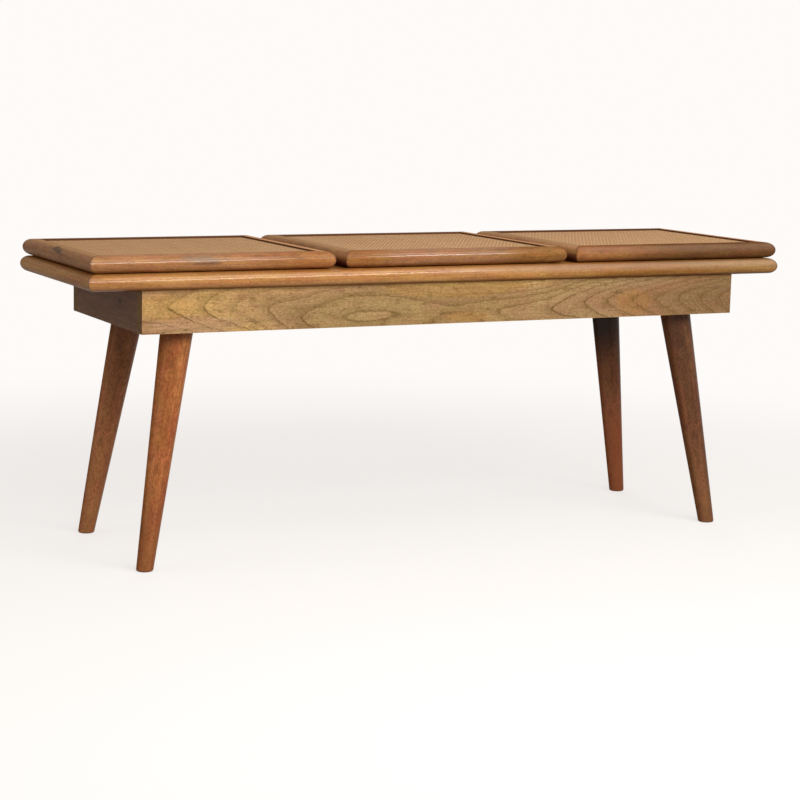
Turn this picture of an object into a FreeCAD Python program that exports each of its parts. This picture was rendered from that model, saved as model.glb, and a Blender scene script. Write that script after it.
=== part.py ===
import FreeCAD, Part

import os
import re
import sys

import Sketcher

# A long low bench with a shallow box under its seat. Three framed lids with
# woven panels lie side by side on a bull-nosed base frame and open to the rear.
# X runs along the bench, Y to its rear and Z up. The origin is on the floor,
# under the middle of the bench. All sizes are millimetres.

DIMENSIONS = {
    # The whole bench
    "bench_length": 1140,
    "bench_depth": 330,
    "bench_height": 450,
    # The base frame and the three lids on it
    "base_thickness": 24,
    "base_rail_width": 45,
    "cross_rail_width": 64,
    "end_board_lap": 15,
    "lid_thickness": 24,
    "lid_rail_width": 32,
    "lid_inset": 3,
    "lid_spacing": 16,
    "lid_lift": 1,
    # The woven panel and the board under it, in the lid's rebate
    "rebate_width": 10,
    "rebate_depth": 14,
    "panel_board_thickness": 10,
    "weave_thickness": 2,
    "panel_clearance": 0.5,
    # The box below the base frame
    "apron_from_base_end": 80,
    "apron_from_base_face": 10,
    "apron_height": 61,
    "apron_board_thickness": 20,
    "floor_thickness": 6,
    "floor_groove_depth": 5,
    "groove_clearance": 0.2,
    "divider_thickness": 15,
    # The legs and what holds them
    "bearer_width": 88,
    "bearer_thickness": 22,
    "leg_from_apron_end": 70,
    "leg_from_apron_face": 50.5,
    "leg_splay_along": 58,
    "leg_splay_across": 29.5,
    "leg_top_diameter": 47,
    "leg_foot_diameter": 24.4,
    "foot_rounding": 2.5,
    "leg_bolt_diameter": 8,
    "leg_bolt_in_leg": 40,
    "leg_bolt_below_floor": 1,
    "tee_nut_flange": 22,
    "tee_nut_flange_thickness": 1.5,
    "tee_nut_barrel": 10.5,
    "tee_nut_length": 10,
    "metal_clearance": 0.1,
    # The small butt hinges
    "hinge_length": 50,
    "hinge_from_lid_end": 70,
    "hinge_overhang": 8.3,
    "knuckle_diameter": 5,
    "hinge_pin_diameter": 2.5,
    "hinge_pin_clearance": 0.05,
    "knuckle_gap": 0.3,
    "knuckle_notch": 0.4,
    "leaf_thickness": 1.2,
    "leaf_proud": 0.35,
    "leaf_on_wood": 18,
    "mortise_clearance": 0.2,
    "leaf_screw_from_end": 9,
    "leaf_screw_diameter": 2.5,
    "leaf_screw_head": 5,
    "leaf_screw_head_height": 1,
    "leaf_screw_length": 12,
    "screw_clearance": 0.05,
    # Screws, dowels and the lids' resting pads
    "frame_screw_diameter": 4.5,
    "frame_screw_head": 9,
    "frame_screw_head_height": 2.6,
    "frame_screw_length": 50,
    "frame_screw_across_end_board": 60,
    "dowel_clearance": 0.1,
    "lid_dowel_diameter": 6,
    "lid_dowel_length": 26,
    "base_dowel_diameter": 8,
    "base_dowel_length": 30,
    "apron_dowel_diameter": 8,
    "apron_dowel_length": 32,
    "apron_dowel_from_edge": 14,
    "bearer_dowel_spacing": 44,
    "pad_diameter": 10,
    "pad_thickness": 2,
    "pad_proud": 0.7,
    "pad_from_lid_end": 60,
    "cut_margin": 1,
}

doc = FreeCAD.newDocument("bench")
sheet = doc.addObject("Spreadsheet::Sheet", "sizes")
for row, (alias, value) in enumerate(DIMENSIONS.items(), 1):
    sheet.set("A%d" % row, alias.replace("_", " "))
    sheet.set("B%d" % row, str(value))
    sheet.setAlias("B%d" % row, alias)

worked_out = {}
finished = []


def work_out(name, text):
    """A place or length that follows from the driving dimensions."""
    worked_out[name] = "(" + formula(text) + ")"


def formula(text):
    """Write out the names in a text as cells of the sheet."""

    def one_word(found):
        word = found.group()
        if word in worked_out:
            return worked_out[word]
        return "sizes." + word if word in DIMENSIONS else word

    return re.sub(r"[a-z][a-z_]*", one_word, text)


def value_of(text):
    """The present number behind a text of sizes."""
    return float(sheet.evalExpression(formula(text)))


# Heights and places that follow from the dimensions
work_out("lid_bottom", "bench_height - lid_thickness")
work_out("base_top", "lid_bottom - lid_lift")
work_out("base_bottom", "base_top - base_thickness")
work_out("apron_bottom", "base_bottom - apron_height")
work_out("floor_bottom", "apron_bottom + bearer_thickness")
work_out("floor_top", "floor_bottom + floor_thickness")
work_out("lid_length", "(bench_length - 2 * lid_inset - 2 * lid_spacing) / 3")
work_out("lid_depth", "bench_depth - 2 * lid_inset")
work_out("lid_pitch", "lid_length + lid_spacing")
work_out("lid_gap_along", "lid_pitch / 2")
work_out("apron_length", "bench_length - 2 * apron_from_base_end")
work_out("apron_depth", "bench_depth - 2 * apron_from_base_face")
work_out("apron_inner_along", "apron_length / 2 - apron_board_thickness")
work_out("apron_inner_across", "apron_depth / 2 - apron_board_thickness")
work_out("board_middle_across", "apron_depth / 2 - apron_board_thickness / 2")
work_out("board_middle_along", "apron_length / 2 - apron_board_thickness / 2")
work_out("hinge_axis_across", "bench_depth / 2 - base_thickness / 2 + hinge_overhang")
work_out("hinge_axis_height", "base_top + lid_lift / 2")
work_out("base_nose_across", "bench_depth / 2 - base_thickness / 2")
work_out("leaf_inner_across", "base_nose_across - leaf_on_wood")
work_out("leaf_screw_across", "base_nose_across - leaf_on_wood / 2")
work_out("base_leaf_top", "base_top + leaf_proud")
work_out("lid_leaf_bottom", "lid_bottom - leaf_proud")
work_out("hinge_along", "lid_length / 2 - hinge_from_lid_end")
work_out("leaf_screw_spacing", "hinge_length - 2 * leaf_screw_from_end")
work_out("knuckle_length", "(hinge_length - 4 * knuckle_gap) / 5")
doc.recompute()


def bind(thing, **texts):
    """Tie properties of an object to texts of sizes."""
    for name, text in texts.items():
        thing.setExpression(name, formula(text))
    return thing


def place(thing, x, y, z, turn=None):
    """Put an object at a point given by texts of sizes, after a fixed turn."""
    if turn:
        thing.Placement = FreeCAD.Placement(FreeCAD.Vector(), FreeCAD.Rotation(*turn))
    for axis, text in zip("xyz", (x, y, z)):
        thing.setExpression("Placement.Base." + axis, formula(text))
    return thing


AXIS_Z = FreeCAD.Vector(0, 0, 1)
TO_X = (FreeCAD.Vector(0, 1, 0), 90)
TO_Y = (FreeCAD.Vector(1, 0, 0), -90)


def box(along, across, up):
    """A block between pairs of texts: from and to, along X, Y and Z."""
    block = doc.addObject("Part::Box", "block")
    bind(
        block,
        Length="(%s) - (%s)" % (along[1], along[0]),
        Width="(%s) - (%s)" % (across[1], across[0]),
        Height="(%s) - (%s)" % (up[1], up[0]),
    )
    return place(block, along[0], across[0], up[0])


def rod(x, y, z, diameter, length, turn=None):
    """A round rod or hole that starts at a point and runs up, or as turned."""
    bar = doc.addObject("Part::Cylinder", "rod")
    bind(bar, Radius="(%s) / 2" % diameter, Height=length)
    return place(bar, x, y, z, turn)


def taper(x, y, z, low_diameter, high_diameter, height):
    """A cone that stands at a point."""
    cone = doc.addObject("Part::Cone", "taper")
    bind(cone, Radius1="(%s) / 2" % low_diameter, Radius2="(%s) / 2" % high_diameter, Height=height)
    return place(cone, x, y, z)


def joined(things):
    """Several shapes made one."""
    if len(things) == 1:
        return things[0]
    whole = doc.addObject("Part::MultiFuse", "joined")
    whole.Shapes = things
    return whole


def without(thing, tools):
    """A shape with the given tools cut away."""
    if not tools:
        return thing
    rest = doc.addObject("Part::Cut", "cut")
    rest.Base = thing
    rest.Tool = joined(tools)
    return rest


def finish(label, thing):
    """Name a finished piece, which gives its file the same name."""
    thing.Label = label
    finished.append(thing)
    return thing


def finish_set(label, things):
    """Name a set of like pieces that stay separate solids."""
    group = doc.addObject("Part::Compound", "set_of")
    group.Links = things
    return finish(label, group)


def sketch_on(body, role, name):
    """An empty sketch on one of the body's own planes."""
    sketch = body.newObject("Sketcher::SketchObject", name)
    plane = [item for item in body.Origin.OriginFeatures if item.Role == role][0]
    sketch.AttachmentSupport = (plane, [""])
    sketch.MapMode = "FlatFace"
    return sketch


def fix_point(sketch, line, end, x, y, name):
    """Hold a point of a sketch at texts of sizes from the sketch's origin."""
    if x is not None:
        number = sketch.addConstraint(
            Sketcher.Constraint("DistanceX", -1, 1, line, end, value_of(x))
        )
        sketch.renameConstraint(number, name + "_x")
        sketch.setExpression("Constraints." + name + "_x", formula(x))
    if y is not None:
        number = sketch.addConstraint(
            Sketcher.Constraint("DistanceY", -1, 1, line, end, value_of(y))
        )
        sketch.renameConstraint(number, name + "_y")
        sketch.setExpression("Constraints." + name + "_y", formula(y))


def closed_outline(sketch, corners, name):
    """Straight lines round a list of corners, each held by its two sizes."""
    start = sketch.GeometryCount
    points = [FreeCAD.Vector(value_of(x), value_of(y), 0) for x, y in corners]
    for number, point in enumerate(points):
        next_point = points[(number + 1) % len(points)]
        sketch.addGeometry(Part.LineSegment(point, next_point), False)
    for number, corner in enumerate(corners):
        before = start + (number - 1) % len(corners)
        sketch.addConstraint(Sketcher.Constraint("Coincident", before, 2, start + number, 1))
        fix_point(sketch, start + number, 1, corner[0], corner[1], "%s_%d" % (name, number))


def pad(body, sketch, length):
    """Thicken a sketch by the same amount on both sides of its plane."""
    solid = body.newObject("PartDesign::Pad", "pad")
    solid.Profile = sketch
    solid.SideType = "Symmetric"
    bind(solid, Length=length)
    return solid


def pocket_through(body, sketch):
    """Cut a sketch's outline through the whole body, both ways."""
    hole = body.newObject("PartDesign::Pocket", "pocket")
    hole.Profile = sketch
    hole.Type = "ThroughAll"
    hole.SideType = "Symmetric"
    return hole


# Rails: a half-round outer edge, mitred at both ends. A rail is drawn along X
# with its outer edge at Y = 0, then turned to its side of the frame.


def bullnose_rail(name, length, width, thickness, rebate=None):
    """A mitred rail with a half-round nose and, inside, a rebate or none."""
    body = doc.addObject("PartDesign::Body", name)
    section = sketch_on(body, "YZ_Plane", "section")
    nose = "%s / 2" % thickness
    corners = [(nose, "0"), (width, "0")]
    if rebate:
        ledge_top = "%s - %s" % (thickness, rebate[1])
        ledge_back = "%s - %s" % (width, rebate[0])
        corners += [(width, ledge_top), (ledge_back, ledge_top), (ledge_back, thickness)]
    else:
        corners += [(width, thickness)]
    corners += [(nose, thickness)]
    points = [FreeCAD.Vector(value_of(x), value_of(y), 0) for x, y in corners]
    for number in range(len(points) - 1):
        section.addGeometry(Part.LineSegment(points[number], points[number + 1]), False)
    arc = len(points) - 1
    nose_tip = FreeCAD.Vector(0, value_of(nose), 0)
    section.addGeometry(Part.Arc(points[-1], nose_tip, points[0]), False)
    for number in range(1, arc):
        section.addConstraint(Sketcher.Constraint("Coincident", number - 1, 2, number, 1))
        fix_point(section, number, 1, corners[number][0], corners[number][1], "corner_%d" % number)
    section.addConstraint(Sketcher.Constraint("Coincident", arc - 1, 2, arc, 1))
    section.addConstraint(Sketcher.Constraint("Coincident", arc, 2, 0, 1))
    fix_point(section, 0, 1, corners[0][0], corners[0][1], "nose_low")
    fix_point(section, arc, 1, corners[-1][0], corners[-1][1], "nose_high")
    fix_point(section, arc, 3, nose, None, "nose_middle")
    pad(body, section, length)
    mitres = sketch_on(body, "XY_Plane", "mitres")
    for side, sign in (("right", ""), ("left", "-")):
        end = "%s(%s / 2 + cut_margin)" % (sign, length)
        inner = "%s(%s / 2 - %s - cut_margin)" % (sign, length, width)
        closed_outline(
            mitres,
            [(end, "-cut_margin"), (end, width + " + cut_margin"), (inner, width + " + cut_margin")],
            side,
        )
    body.Tip = pocket_through(body, mitres)
    return body


def set_rail(rail, side, x, y, z):
    """Turn a rail to its side of the frame and put its outer edge there."""
    turns = {"front": 0, "rear": 180, "left": -90, "right": 90}
    return place(rail, x, y, z, (AXIS_Z, turns[side]))


def corner_dowel(x, y, z, slope, diameter, length, slack):
    """A dowel square to the mitre of a corner, or its hole with some slack."""
    reach = "(%s + %s) / (2 * sqrt(2))" % (length, slack)
    direction = FreeCAD.Vector(1, slope, 0)
    turn = FreeCAD.Rotation(AXIS_Z, direction)
    bar = doc.addObject("Part::Cylinder", "corner_dowel")
    bind(bar, Radius="(%s + %s) / 2" % (diameter, slack), Height="%s + %s" % (length, slack))
    bar.Placement = FreeCAD.Placement(FreeCAD.Vector(), turn)
    return place(bar, "%s - %s" % (x, reach), "%s - (%d) * %s" % (y, slope, reach), z)


def frame_dowels(x, length, depth, rail_width, height, diameter, dowel_length, slack, rail=None):
    """The corner dowels of a mitred frame, all four or the two in one rail."""
    dowels = []
    for side, along in (("left", -1), ("right", 1)):
        for face, across in (("front", -1), ("rear", 1)):
            if rail and rail not in (side, face):
                continue
            middle_x = "%s + (%d) * (%s / 2 - %s / 2)" % (x, along, length, rail_width)
            middle_y = "(%d) * (%s / 2 - %s / 2)" % (across, depth, rail_width)
            slope = -1 if along == across else 1
            dowels.append(
                corner_dowel(middle_x, middle_y, height, slope, diameter, dowel_length, slack)
            )
    return dowels


# Screws with countersunk heads. A screw and its hole are the same shape, and
# the hole has the named clearance.


def screw_down(x, y, top, diameter, head, head_height, length, slack="0"):
    """A countersunk screw driven down from a surface."""
    shank = rod(x, y, "%s - %s" % (top, length), "%s + %s" % (diameter, slack), length)
    cone = taper(
        x, y, "%s - %s" % (top, head_height),
        "%s + %s" % (diameter, slack), "%s + %s" % (head, slack), head_height,
    )
    return joined([shank, cone])


def screw_up(x, y, bottom, diameter, head, head_height, length, slack="0"):
    """A countersunk screw driven up from below."""
    shank = rod(x, y, bottom, "%s + %s" % (diameter, slack), length)
    cone = taper(
        x, y, bottom, "%s + %s" % (head, slack), "%s + %s" % (diameter, slack), head_height
    )
    return joined([shank, cone])


# Legs: turned as straight cones, splayed both ways, and cut level at the floor
# and at the underside of the bearer. The foot's rim is rounded.

work_out("leg_top_along", "apron_length / 2 - leg_from_apron_end")
work_out("leg_top_across", "apron_depth / 2 - leg_from_apron_face")
work_out("leg_foot_along", "leg_top_along + leg_splay_along")
work_out("leg_foot_across", "leg_top_across + leg_splay_across")
work_out("lean", "sqrt(leg_splay_along ^ 2 + leg_splay_across ^ 2)")
work_out("leg_slope", "sqrt(lean ^ 2 + apron_bottom ^ 2)")
work_out("leg_taper", "(leg_top_diameter - leg_foot_diameter) / 2 / leg_slope")
work_out("leg_spare", "leg_top_diameter / 2")


def level_pocket(body, name, height, upward):
    """Cut away all of a body below, or above, a level."""
    sketch = sketch_on(body, "XY_Plane", name)
    reach = ("bench_length", "bench_depth")
    closed_outline(
        sketch,
        [
            ("-" + reach[0], "-" + reach[1]), (reach[0], "-" + reach[1]),
            reach, ("-" + reach[0], reach[1]),
        ],
        "side",
    )
    bind(sketch, **{"AttachmentOffset.Base.z": height})
    rest = body.newObject("PartDesign::Pocket", name + "_cut")
    rest.Profile = sketch
    rest.Type = "ThroughAll"
    rest.Reversed = upward
    return rest


CORNERS = {
    "front_left": (-1, -1),
    "front_right": (1, -1),
    "rear_left": (-1, 1),
    "rear_right": (1, 1),
}
leg_bolts = []
for corner, (along, across) in CORNERS.items():
    leg = doc.addObject("PartDesign::Body", corner + "_leg_turning")
    turning = leg.newObject("PartDesign::AdditiveCone", "turning")
    bind(
        turning,
        Radius1="leg_foot_diameter / 2 - leg_taper * leg_spare",
        Radius2="leg_top_diameter / 2 + leg_taper * leg_spare",
        Height="leg_slope + 2 * leg_spare",
    )
    low_end = (
        "vector((%d) * (leg_foot_along + leg_splay_along * leg_spare / leg_slope); "
        "(%d) * (leg_foot_across + leg_splay_across * leg_spare / leg_slope); "
        "-leg_spare * apron_bottom / leg_slope)" % (along, across)
    )
    lean_turn = (
        "rotation(vector((%d) * leg_splay_across; (%d) * leg_splay_along; 0); "
        "atan(lean / apron_bottom))" % (across, -along)
    )
    bind(turning, Placement="placement(%s; %s)" % (low_end, lean_turn))
    level_pocket(leg, "floor_level", "0", False)
    top = level_pocket(leg, "bearer_level", "apron_bottom", True)
    doc.recompute()
    edges = top.Shape.Edges
    rim = min(range(len(edges)), key=lambda n: edges[n].CenterOfMass.z)
    rounding = leg.newObject("PartDesign::Fillet", "rounding")
    rounding.Base = (top, ["Edge%d" % (rim + 1)])
    bind(rounding, Radius="foot_rounding")
    leg.Tip = rounding
    x = "(%d) * leg_top_along" % along
    y = "(%d) * leg_top_across" % across
    bolt_bottom = "apron_bottom - leg_bolt_in_leg"
    bolt_length = "leg_bolt_in_leg + bearer_thickness - leg_bolt_below_floor"
    leg_bolts.append(rod(x, y, bolt_bottom, "leg_bolt_diameter", bolt_length))
    hole = rod(
        x, y, bolt_bottom + " - metal_clearance", "leg_bolt_diameter + metal_clearance",
        "leg_bolt_in_leg + 2 * cut_margin",
    )
    finish(corner + "_leg", without(leg, [hole]))
finish_set("leg_hanger_bolts", leg_bolts)

# Each pair of legs is bolted up into a bearer, a thick cross board that fills
# the end of the box below its floor. A tee nut in the bearer takes each bolt.

apron_dowels = []
apron_holes = {"front": [], "rear": [], "left": [], "right": []}


def dowel_across(x, y, z, slack):
    """A dowel along Y, by its middle, or its hole with some slack."""
    reach = "(apron_dowel_length + %s) / 2" % slack
    return rod(
        x, "%s - %s" % (y, reach), z, "apron_dowel_diameter + " + slack,
        "apron_dowel_length + " + slack, TO_Y,
    )


tee_nuts = []
for side, along in (("left", -1), ("right", 1)):
    outer = "(%d) * apron_inner_along" % along
    inner = "(%d) * (apron_inner_along - bearer_width)" % along
    ends = (outer, inner) if along < 0 else (inner, outer)
    blank = box(ends, ("-apron_inner_across", "apron_inner_across"), ("apron_bottom", "floor_bottom"))
    holes = []
    for face, across in (("front", -1), ("rear", 1)):
        x = "(%d) * leg_top_along" % along
        y = "(%d) * leg_top_across" % across
        flange_bottom = "floor_bottom - tee_nut_flange_thickness - metal_clearance"
        nut_bottom = flange_bottom + " - tee_nut_length"
        holes.append(rod(
            x, y, "apron_bottom - cut_margin", "leg_bolt_diameter + 2 * metal_clearance",
            "bearer_thickness + 2 * cut_margin",
        ))
        holes.append(rod(
            x, y, nut_bottom, "tee_nut_barrel + metal_clearance",
            "tee_nut_length + 2 * tee_nut_flange_thickness",
        ))
        holes.append(rod(
            x, y, flange_bottom, "tee_nut_flange + 2 * metal_clearance",
            "2 * tee_nut_flange_thickness",
        ))
        barrel = rod(x, y, nut_bottom, "tee_nut_barrel", "tee_nut_length")
        flange = rod(x, y, flange_bottom, "tee_nut_flange", "tee_nut_flange_thickness")
        thread = rod(
            x, y, nut_bottom + " - cut_margin", "leg_bolt_diameter + metal_clearance",
            "tee_nut_length + 2 * cut_margin + tee_nut_flange_thickness",
        )
        tee_nuts.append(without(joined([barrel, flange]), [thread]))
        for step in (-1, 1):
            dowel_x = "(%d) * (apron_inner_along - bearer_width / 2) + (%d) * bearer_dowel_spacing / 2"
            dowel_at = (
                dowel_x % (along, step),
                "(%d) * apron_inner_across" % across,
                "apron_bottom + bearer_thickness / 2",
            )
            apron_dowels.append(dowel_across(*dowel_at, "0"))
            holes.append(dowel_across(*dowel_at, "dowel_clearance"))
            apron_holes[face].append(dowel_across(*dowel_at, "dowel_clearance"))
    finish(side + "_leg_bearer", without(blank, holes))
finish_set("leg_tee_nuts", tee_nuts)

# The apron: long boards at the front and rear lap the ends of the short ones.
# Blind dowels pin the corners and the bearers. A groove all round takes the
# floor of the box, which slides in before the last board goes on.

for side, along in (("left", -1), ("right", 1)):
    for face, across in (("front", -1), ("rear", 1)):
        for up in (
            "apron_bottom + apron_dowel_from_edge",
            "base_bottom - apron_dowel_from_edge",
        ):
            dowel_at = (
                "(%d) * board_middle_along" % along, "(%d) * apron_inner_across" % across, up
            )
            apron_dowels.append(dowel_across(*dowel_at, "0"))
            apron_holes[face].append(dowel_across(*dowel_at, "dowel_clearance"))
            apron_holes[side].append(dowel_across(*dowel_at, "dowel_clearance"))
finish_set("apron_dowels", apron_dowels)

floor_reach_along = "apron_inner_along + floor_groove_depth"
floor_reach_across = "apron_inner_across + floor_groove_depth"


def floor_block(slack):
    """The floor of the box, or with some slack the groove round it."""
    along = "%s + %s" % (floor_reach_along, slack)
    across = "%s + %s" % (floor_reach_across, slack)
    return box(
        ("-(%s)" % along, along),
        ("-(%s)" % across, across),
        ("floor_bottom", "floor_top + " + slack),
    )


frame_screws = []


def frame_screw(x, y, slack):
    """A screw down through the base frame into the apron, or its hole."""
    return screw_down(
        x, y, "base_top", "frame_screw_diameter", "frame_screw_head",
        "frame_screw_head_height", "frame_screw_length", slack,
    )


# The screws of the long rails keep clear of the hinges and of the gaps between
# the lids, so that the closed lids hide them all.
rail_screw_places = [
    "-lid_pitch", "-0.4 * lid_pitch", "0", "0.4 * lid_pitch", "lid_pitch",
]
base_holes = {"front": [], "rear": [], "left": [], "right": []}
for face, across in (("front", -1), ("rear", 1)):
    for x in rail_screw_places:
        y = "(%d) * board_middle_across" % across
        frame_screws.append(frame_screw(x, y, "0"))
        base_holes[face].append(frame_screw(x, y, "screw_clearance"))
        apron_holes[face].append(frame_screw(x, y, "screw_clearance"))
for side, along in (("left", -1), ("right", 1)):
    for across in (-1, 1):
        x = "(%d) * board_middle_along" % along
        y = "(%d) * frame_screw_across_end_board" % across
        frame_screws.append(frame_screw(x, y, "0"))
        base_holes[side].append(frame_screw(x, y, "screw_clearance"))
        apron_holes[side].append(frame_screw(x, y, "screw_clearance"))
finish_set("base_frame_screws", frame_screws)

for face, across in (("front", -1), ("rear", 1)):
    outer = "(%d) * apron_depth / 2" % across
    inner = "(%d) * apron_inner_across" % across
    ends = (outer, inner) if across < 0 else (inner, outer)
    blank = box(("-apron_length / 2", "apron_length / 2"), ends, ("apron_bottom", "base_bottom"))
    tools = apron_holes[face] + [floor_block("groove_clearance")]
    finish("apron_%s_board" % face, without(blank, tools))
for side, along in (("left", -1), ("right", 1)):
    outer = "(%d) * apron_length / 2" % along
    inner = "(%d) * apron_inner_along" % along
    ends = (outer, inner) if along < 0 else (inner, outer)
    blank = box(
        ends, ("-apron_inner_across", "apron_inner_across"), ("apron_bottom", "base_bottom")
    )
    tools = apron_holes[side] + [floor_block("groove_clearance")]
    finish("apron_%s_end" % side, without(blank, tools))

finish("box_floor", floor_block("0"))
for side, along in (("left", -1), ("right", 1)):
    middle = "(%d) * lid_gap_along" % along
    finish(side + "_divider", box(
        (middle + " - divider_thickness / 2", middle + " + divider_thickness / 2"),
        ("-apron_inner_across", "apron_inner_across"),
        ("floor_top", "base_bottom"),
    ))

# The hinges: one leaf under the lid, one on the base frame, five knuckles in
# the groove between the two half-round edges, and a pin through them.


def knuckle_start(hinge_x, number):
    """Where one of the five knuckles begins along the hinge."""
    return "%s - hinge_length / 2 + %d * (knuckle_length + knuckle_gap)" % (hinge_x, number)


def hinge_leaf(hinge_x, knuckles, low, high, screw_holes):
    """One leaf with its knuckles, bored for the pin and cut for the others."""
    plate = box(
        ("%s - hinge_length / 2" % hinge_x, "%s + hinge_length / 2" % hinge_x),
        ("leaf_inner_across", "hinge_axis_across"),
        (low, high),
    )
    notches = []
    for number in range(5):
        if number not in knuckles:
            notches.append(rod(
                knuckle_start(hinge_x, number) + " - knuckle_gap",
                "hinge_axis_across", "hinge_axis_height",
                "knuckle_diameter + 2 * knuckle_notch",
                "knuckle_length + 2 * knuckle_gap", TO_X,
            ))
    barrels = []
    for number in knuckles:
        barrels.append(rod(
            knuckle_start(hinge_x, number), "hinge_axis_across", "hinge_axis_height",
            "knuckle_diameter", "knuckle_length", TO_X,
        ))
    bore = rod(
        "%s - hinge_length / 2 - cut_margin" % hinge_x, "hinge_axis_across", "hinge_axis_height",
        "hinge_pin_diameter + 2 * hinge_pin_clearance", "hinge_length + 2 * cut_margin", TO_X,
    )
    return without(joined([without(plate, notches)] + barrels), [bore] + screw_holes)


def mortise(hinge_x, nose_across, low, high):
    """The shallow seat for a leaf, open through the half-round edge."""
    return box(
        (
            "%s - hinge_length / 2 - mortise_clearance" % hinge_x,
            "%s + hinge_length / 2 + mortise_clearance" % hinge_x,
        ),
        ("leaf_inner_across - mortise_clearance", nose_across + " + base_thickness"),
        (low, high),
    )


def leaf_screw(x, down, slack):
    """A small screw of a hinge leaf, or its hole."""
    sizes = (
        "leaf_screw_diameter", "leaf_screw_head", "leaf_screw_head_height", "leaf_screw_length",
    )
    if down:
        return screw_down(x, "leaf_screw_across", "base_leaf_top", *sizes, slack)
    return screw_up(x, "leaf_screw_across", "lid_leaf_bottom", *sizes, slack)


base_leaves = []
hinge_pins = []
base_leaf_screws = []
LIDS = {"left": "-lid_pitch", "middle": "0", "right": "lid_pitch"}
for lid, lid_x in LIDS.items():
    lid_leaves = []
    lid_leaf_screws = []
    rear_tools = []
    for end in (-1, 1):
        hinge_x = "%s + (%d) * hinge_along" % (lid_x, end)
        base_leaf_holes = []
        lid_leaf_holes = []
        for step in (-1, 1):
            screw_x = "%s + (%d) * leaf_screw_spacing / 2" % (hinge_x, step)
            base_leaf_screws.append(leaf_screw(screw_x, True, "0"))
            base_leaf_holes.append(leaf_screw(screw_x, True, "screw_clearance"))
            base_holes["rear"].append(leaf_screw(screw_x, True, "screw_clearance"))
            lid_leaf_screws.append(leaf_screw(screw_x, False, "0"))
            lid_leaf_holes.append(leaf_screw(screw_x, False, "screw_clearance"))
            rear_tools.append(leaf_screw(screw_x, False, "screw_clearance"))
        base_leaves.append(hinge_leaf(
            hinge_x, (0, 2, 4), "base_leaf_top - leaf_thickness", "base_leaf_top",
            base_leaf_holes,
        ))
        lid_leaves.append(hinge_leaf(
            hinge_x, (1, 3), "lid_leaf_bottom", "lid_leaf_bottom + leaf_thickness",
            lid_leaf_holes,
        ))
        hinge_pins.append(rod(
            "%s - hinge_length / 2" % hinge_x, "hinge_axis_across", "hinge_axis_height",
            "hinge_pin_diameter", "hinge_length", TO_X,
        ))
        base_holes["rear"].append(mortise(
            hinge_x, "base_nose_across", "base_leaf_top - leaf_thickness",
            "base_top + cut_margin",
        ))
        rear_tools.append(mortise(
            hinge_x, "base_nose_across", "lid_bottom - cut_margin",
            "lid_leaf_bottom + leaf_thickness",
        ))
    finish_set(lid + "_lid_hinge_leaves", lid_leaves)
    finish_set(lid + "_lid_hinge_screws", lid_leaf_screws)

    # The lid's frame, its board in the rebate and the woven panel on that.
    # Corner dowels lie square to the mitres at the rails' mid thickness.
    dowel_sizes = (
        "lid_length", "lid_depth", "lid_rail_width", "(lid_bottom + lid_thickness / 2)",
        "lid_dowel_diameter", "lid_dowel_length",
    )
    finish_set(lid + "_lid_corner_dowels", frame_dowels(lid_x, *dowel_sizes, "0"))
    pads = []
    front_tools = []
    for end in (-1, 1):
        pad_x = "%s + (%d) * (lid_length / 2 - pad_from_lid_end)" % (lid_x, end)
        pad_y = "-(lid_depth / 2 - lid_rail_width / 2 - lid_thickness / 4)"
        pad_low = "lid_bottom - pad_proud"
        pads.append(rod(pad_x, pad_y, pad_low, "pad_diameter", "pad_thickness"))
        front_tools.append(rod(
            pad_x, pad_y, pad_low, "pad_diameter + dowel_clearance", "pad_thickness"
        ))
    finish_set(lid + "_lid_rest_pads", pads)
    rails = {
        "front": ("lid_length", lid_x, "-lid_depth / 2", "front_rail"),
        "rear": ("lid_length", lid_x, "lid_depth / 2", "rear_rail"),
        "left": ("lid_depth", lid_x + " - lid_length / 2", "0", "left_stile"),
        "right": ("lid_depth", lid_x + " + lid_length / 2", "0", "right_stile"),
    }
    for side, (length, x, y, name) in rails.items():
        rail = bullnose_rail(
            "%s_lid_%s_blank" % (lid, name), length, "lid_rail_width", "lid_thickness",
            ("rebate_width", "rebate_depth"),
        )
        set_rail(rail, side, x, y, "lid_bottom")
        tools = frame_dowels(lid_x, *dowel_sizes, "dowel_clearance", side)
        if side == "front":
            tools += front_tools
        if side == "rear":
            tools += rear_tools
        finish("%s_lid_%s" % (lid, name), without(rail, tools))
    reach_along = "(lid_length / 2 - lid_rail_width + rebate_width - panel_clearance)"
    reach_across = "(lid_depth / 2 - lid_rail_width + rebate_width - panel_clearance)"
    ledge = "lid_bottom + lid_thickness - rebate_depth"
    board_top = ledge + " + panel_board_thickness"
    panel_along = ("%s - %s" % (lid_x, reach_along), "%s + %s" % (lid_x, reach_along))
    panel_across = ("-" + reach_across, reach_across)
    finish(lid + "_lid_panel_board", box(panel_along, panel_across, (ledge, board_top)))
    finish(lid + "_lid_woven_panel", box(
        panel_along, panel_across, (board_top, board_top + " + weave_thickness")
    ))
finish_set("hinge_base_leaves", base_leaves)
finish_set("hinge_pins", hinge_pins)
finish_set("hinge_base_screws", base_leaf_screws)

# The base frame: four mitred rails, a board that closes each overhanging end,
# and a cross rail under each gap between lids.

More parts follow.
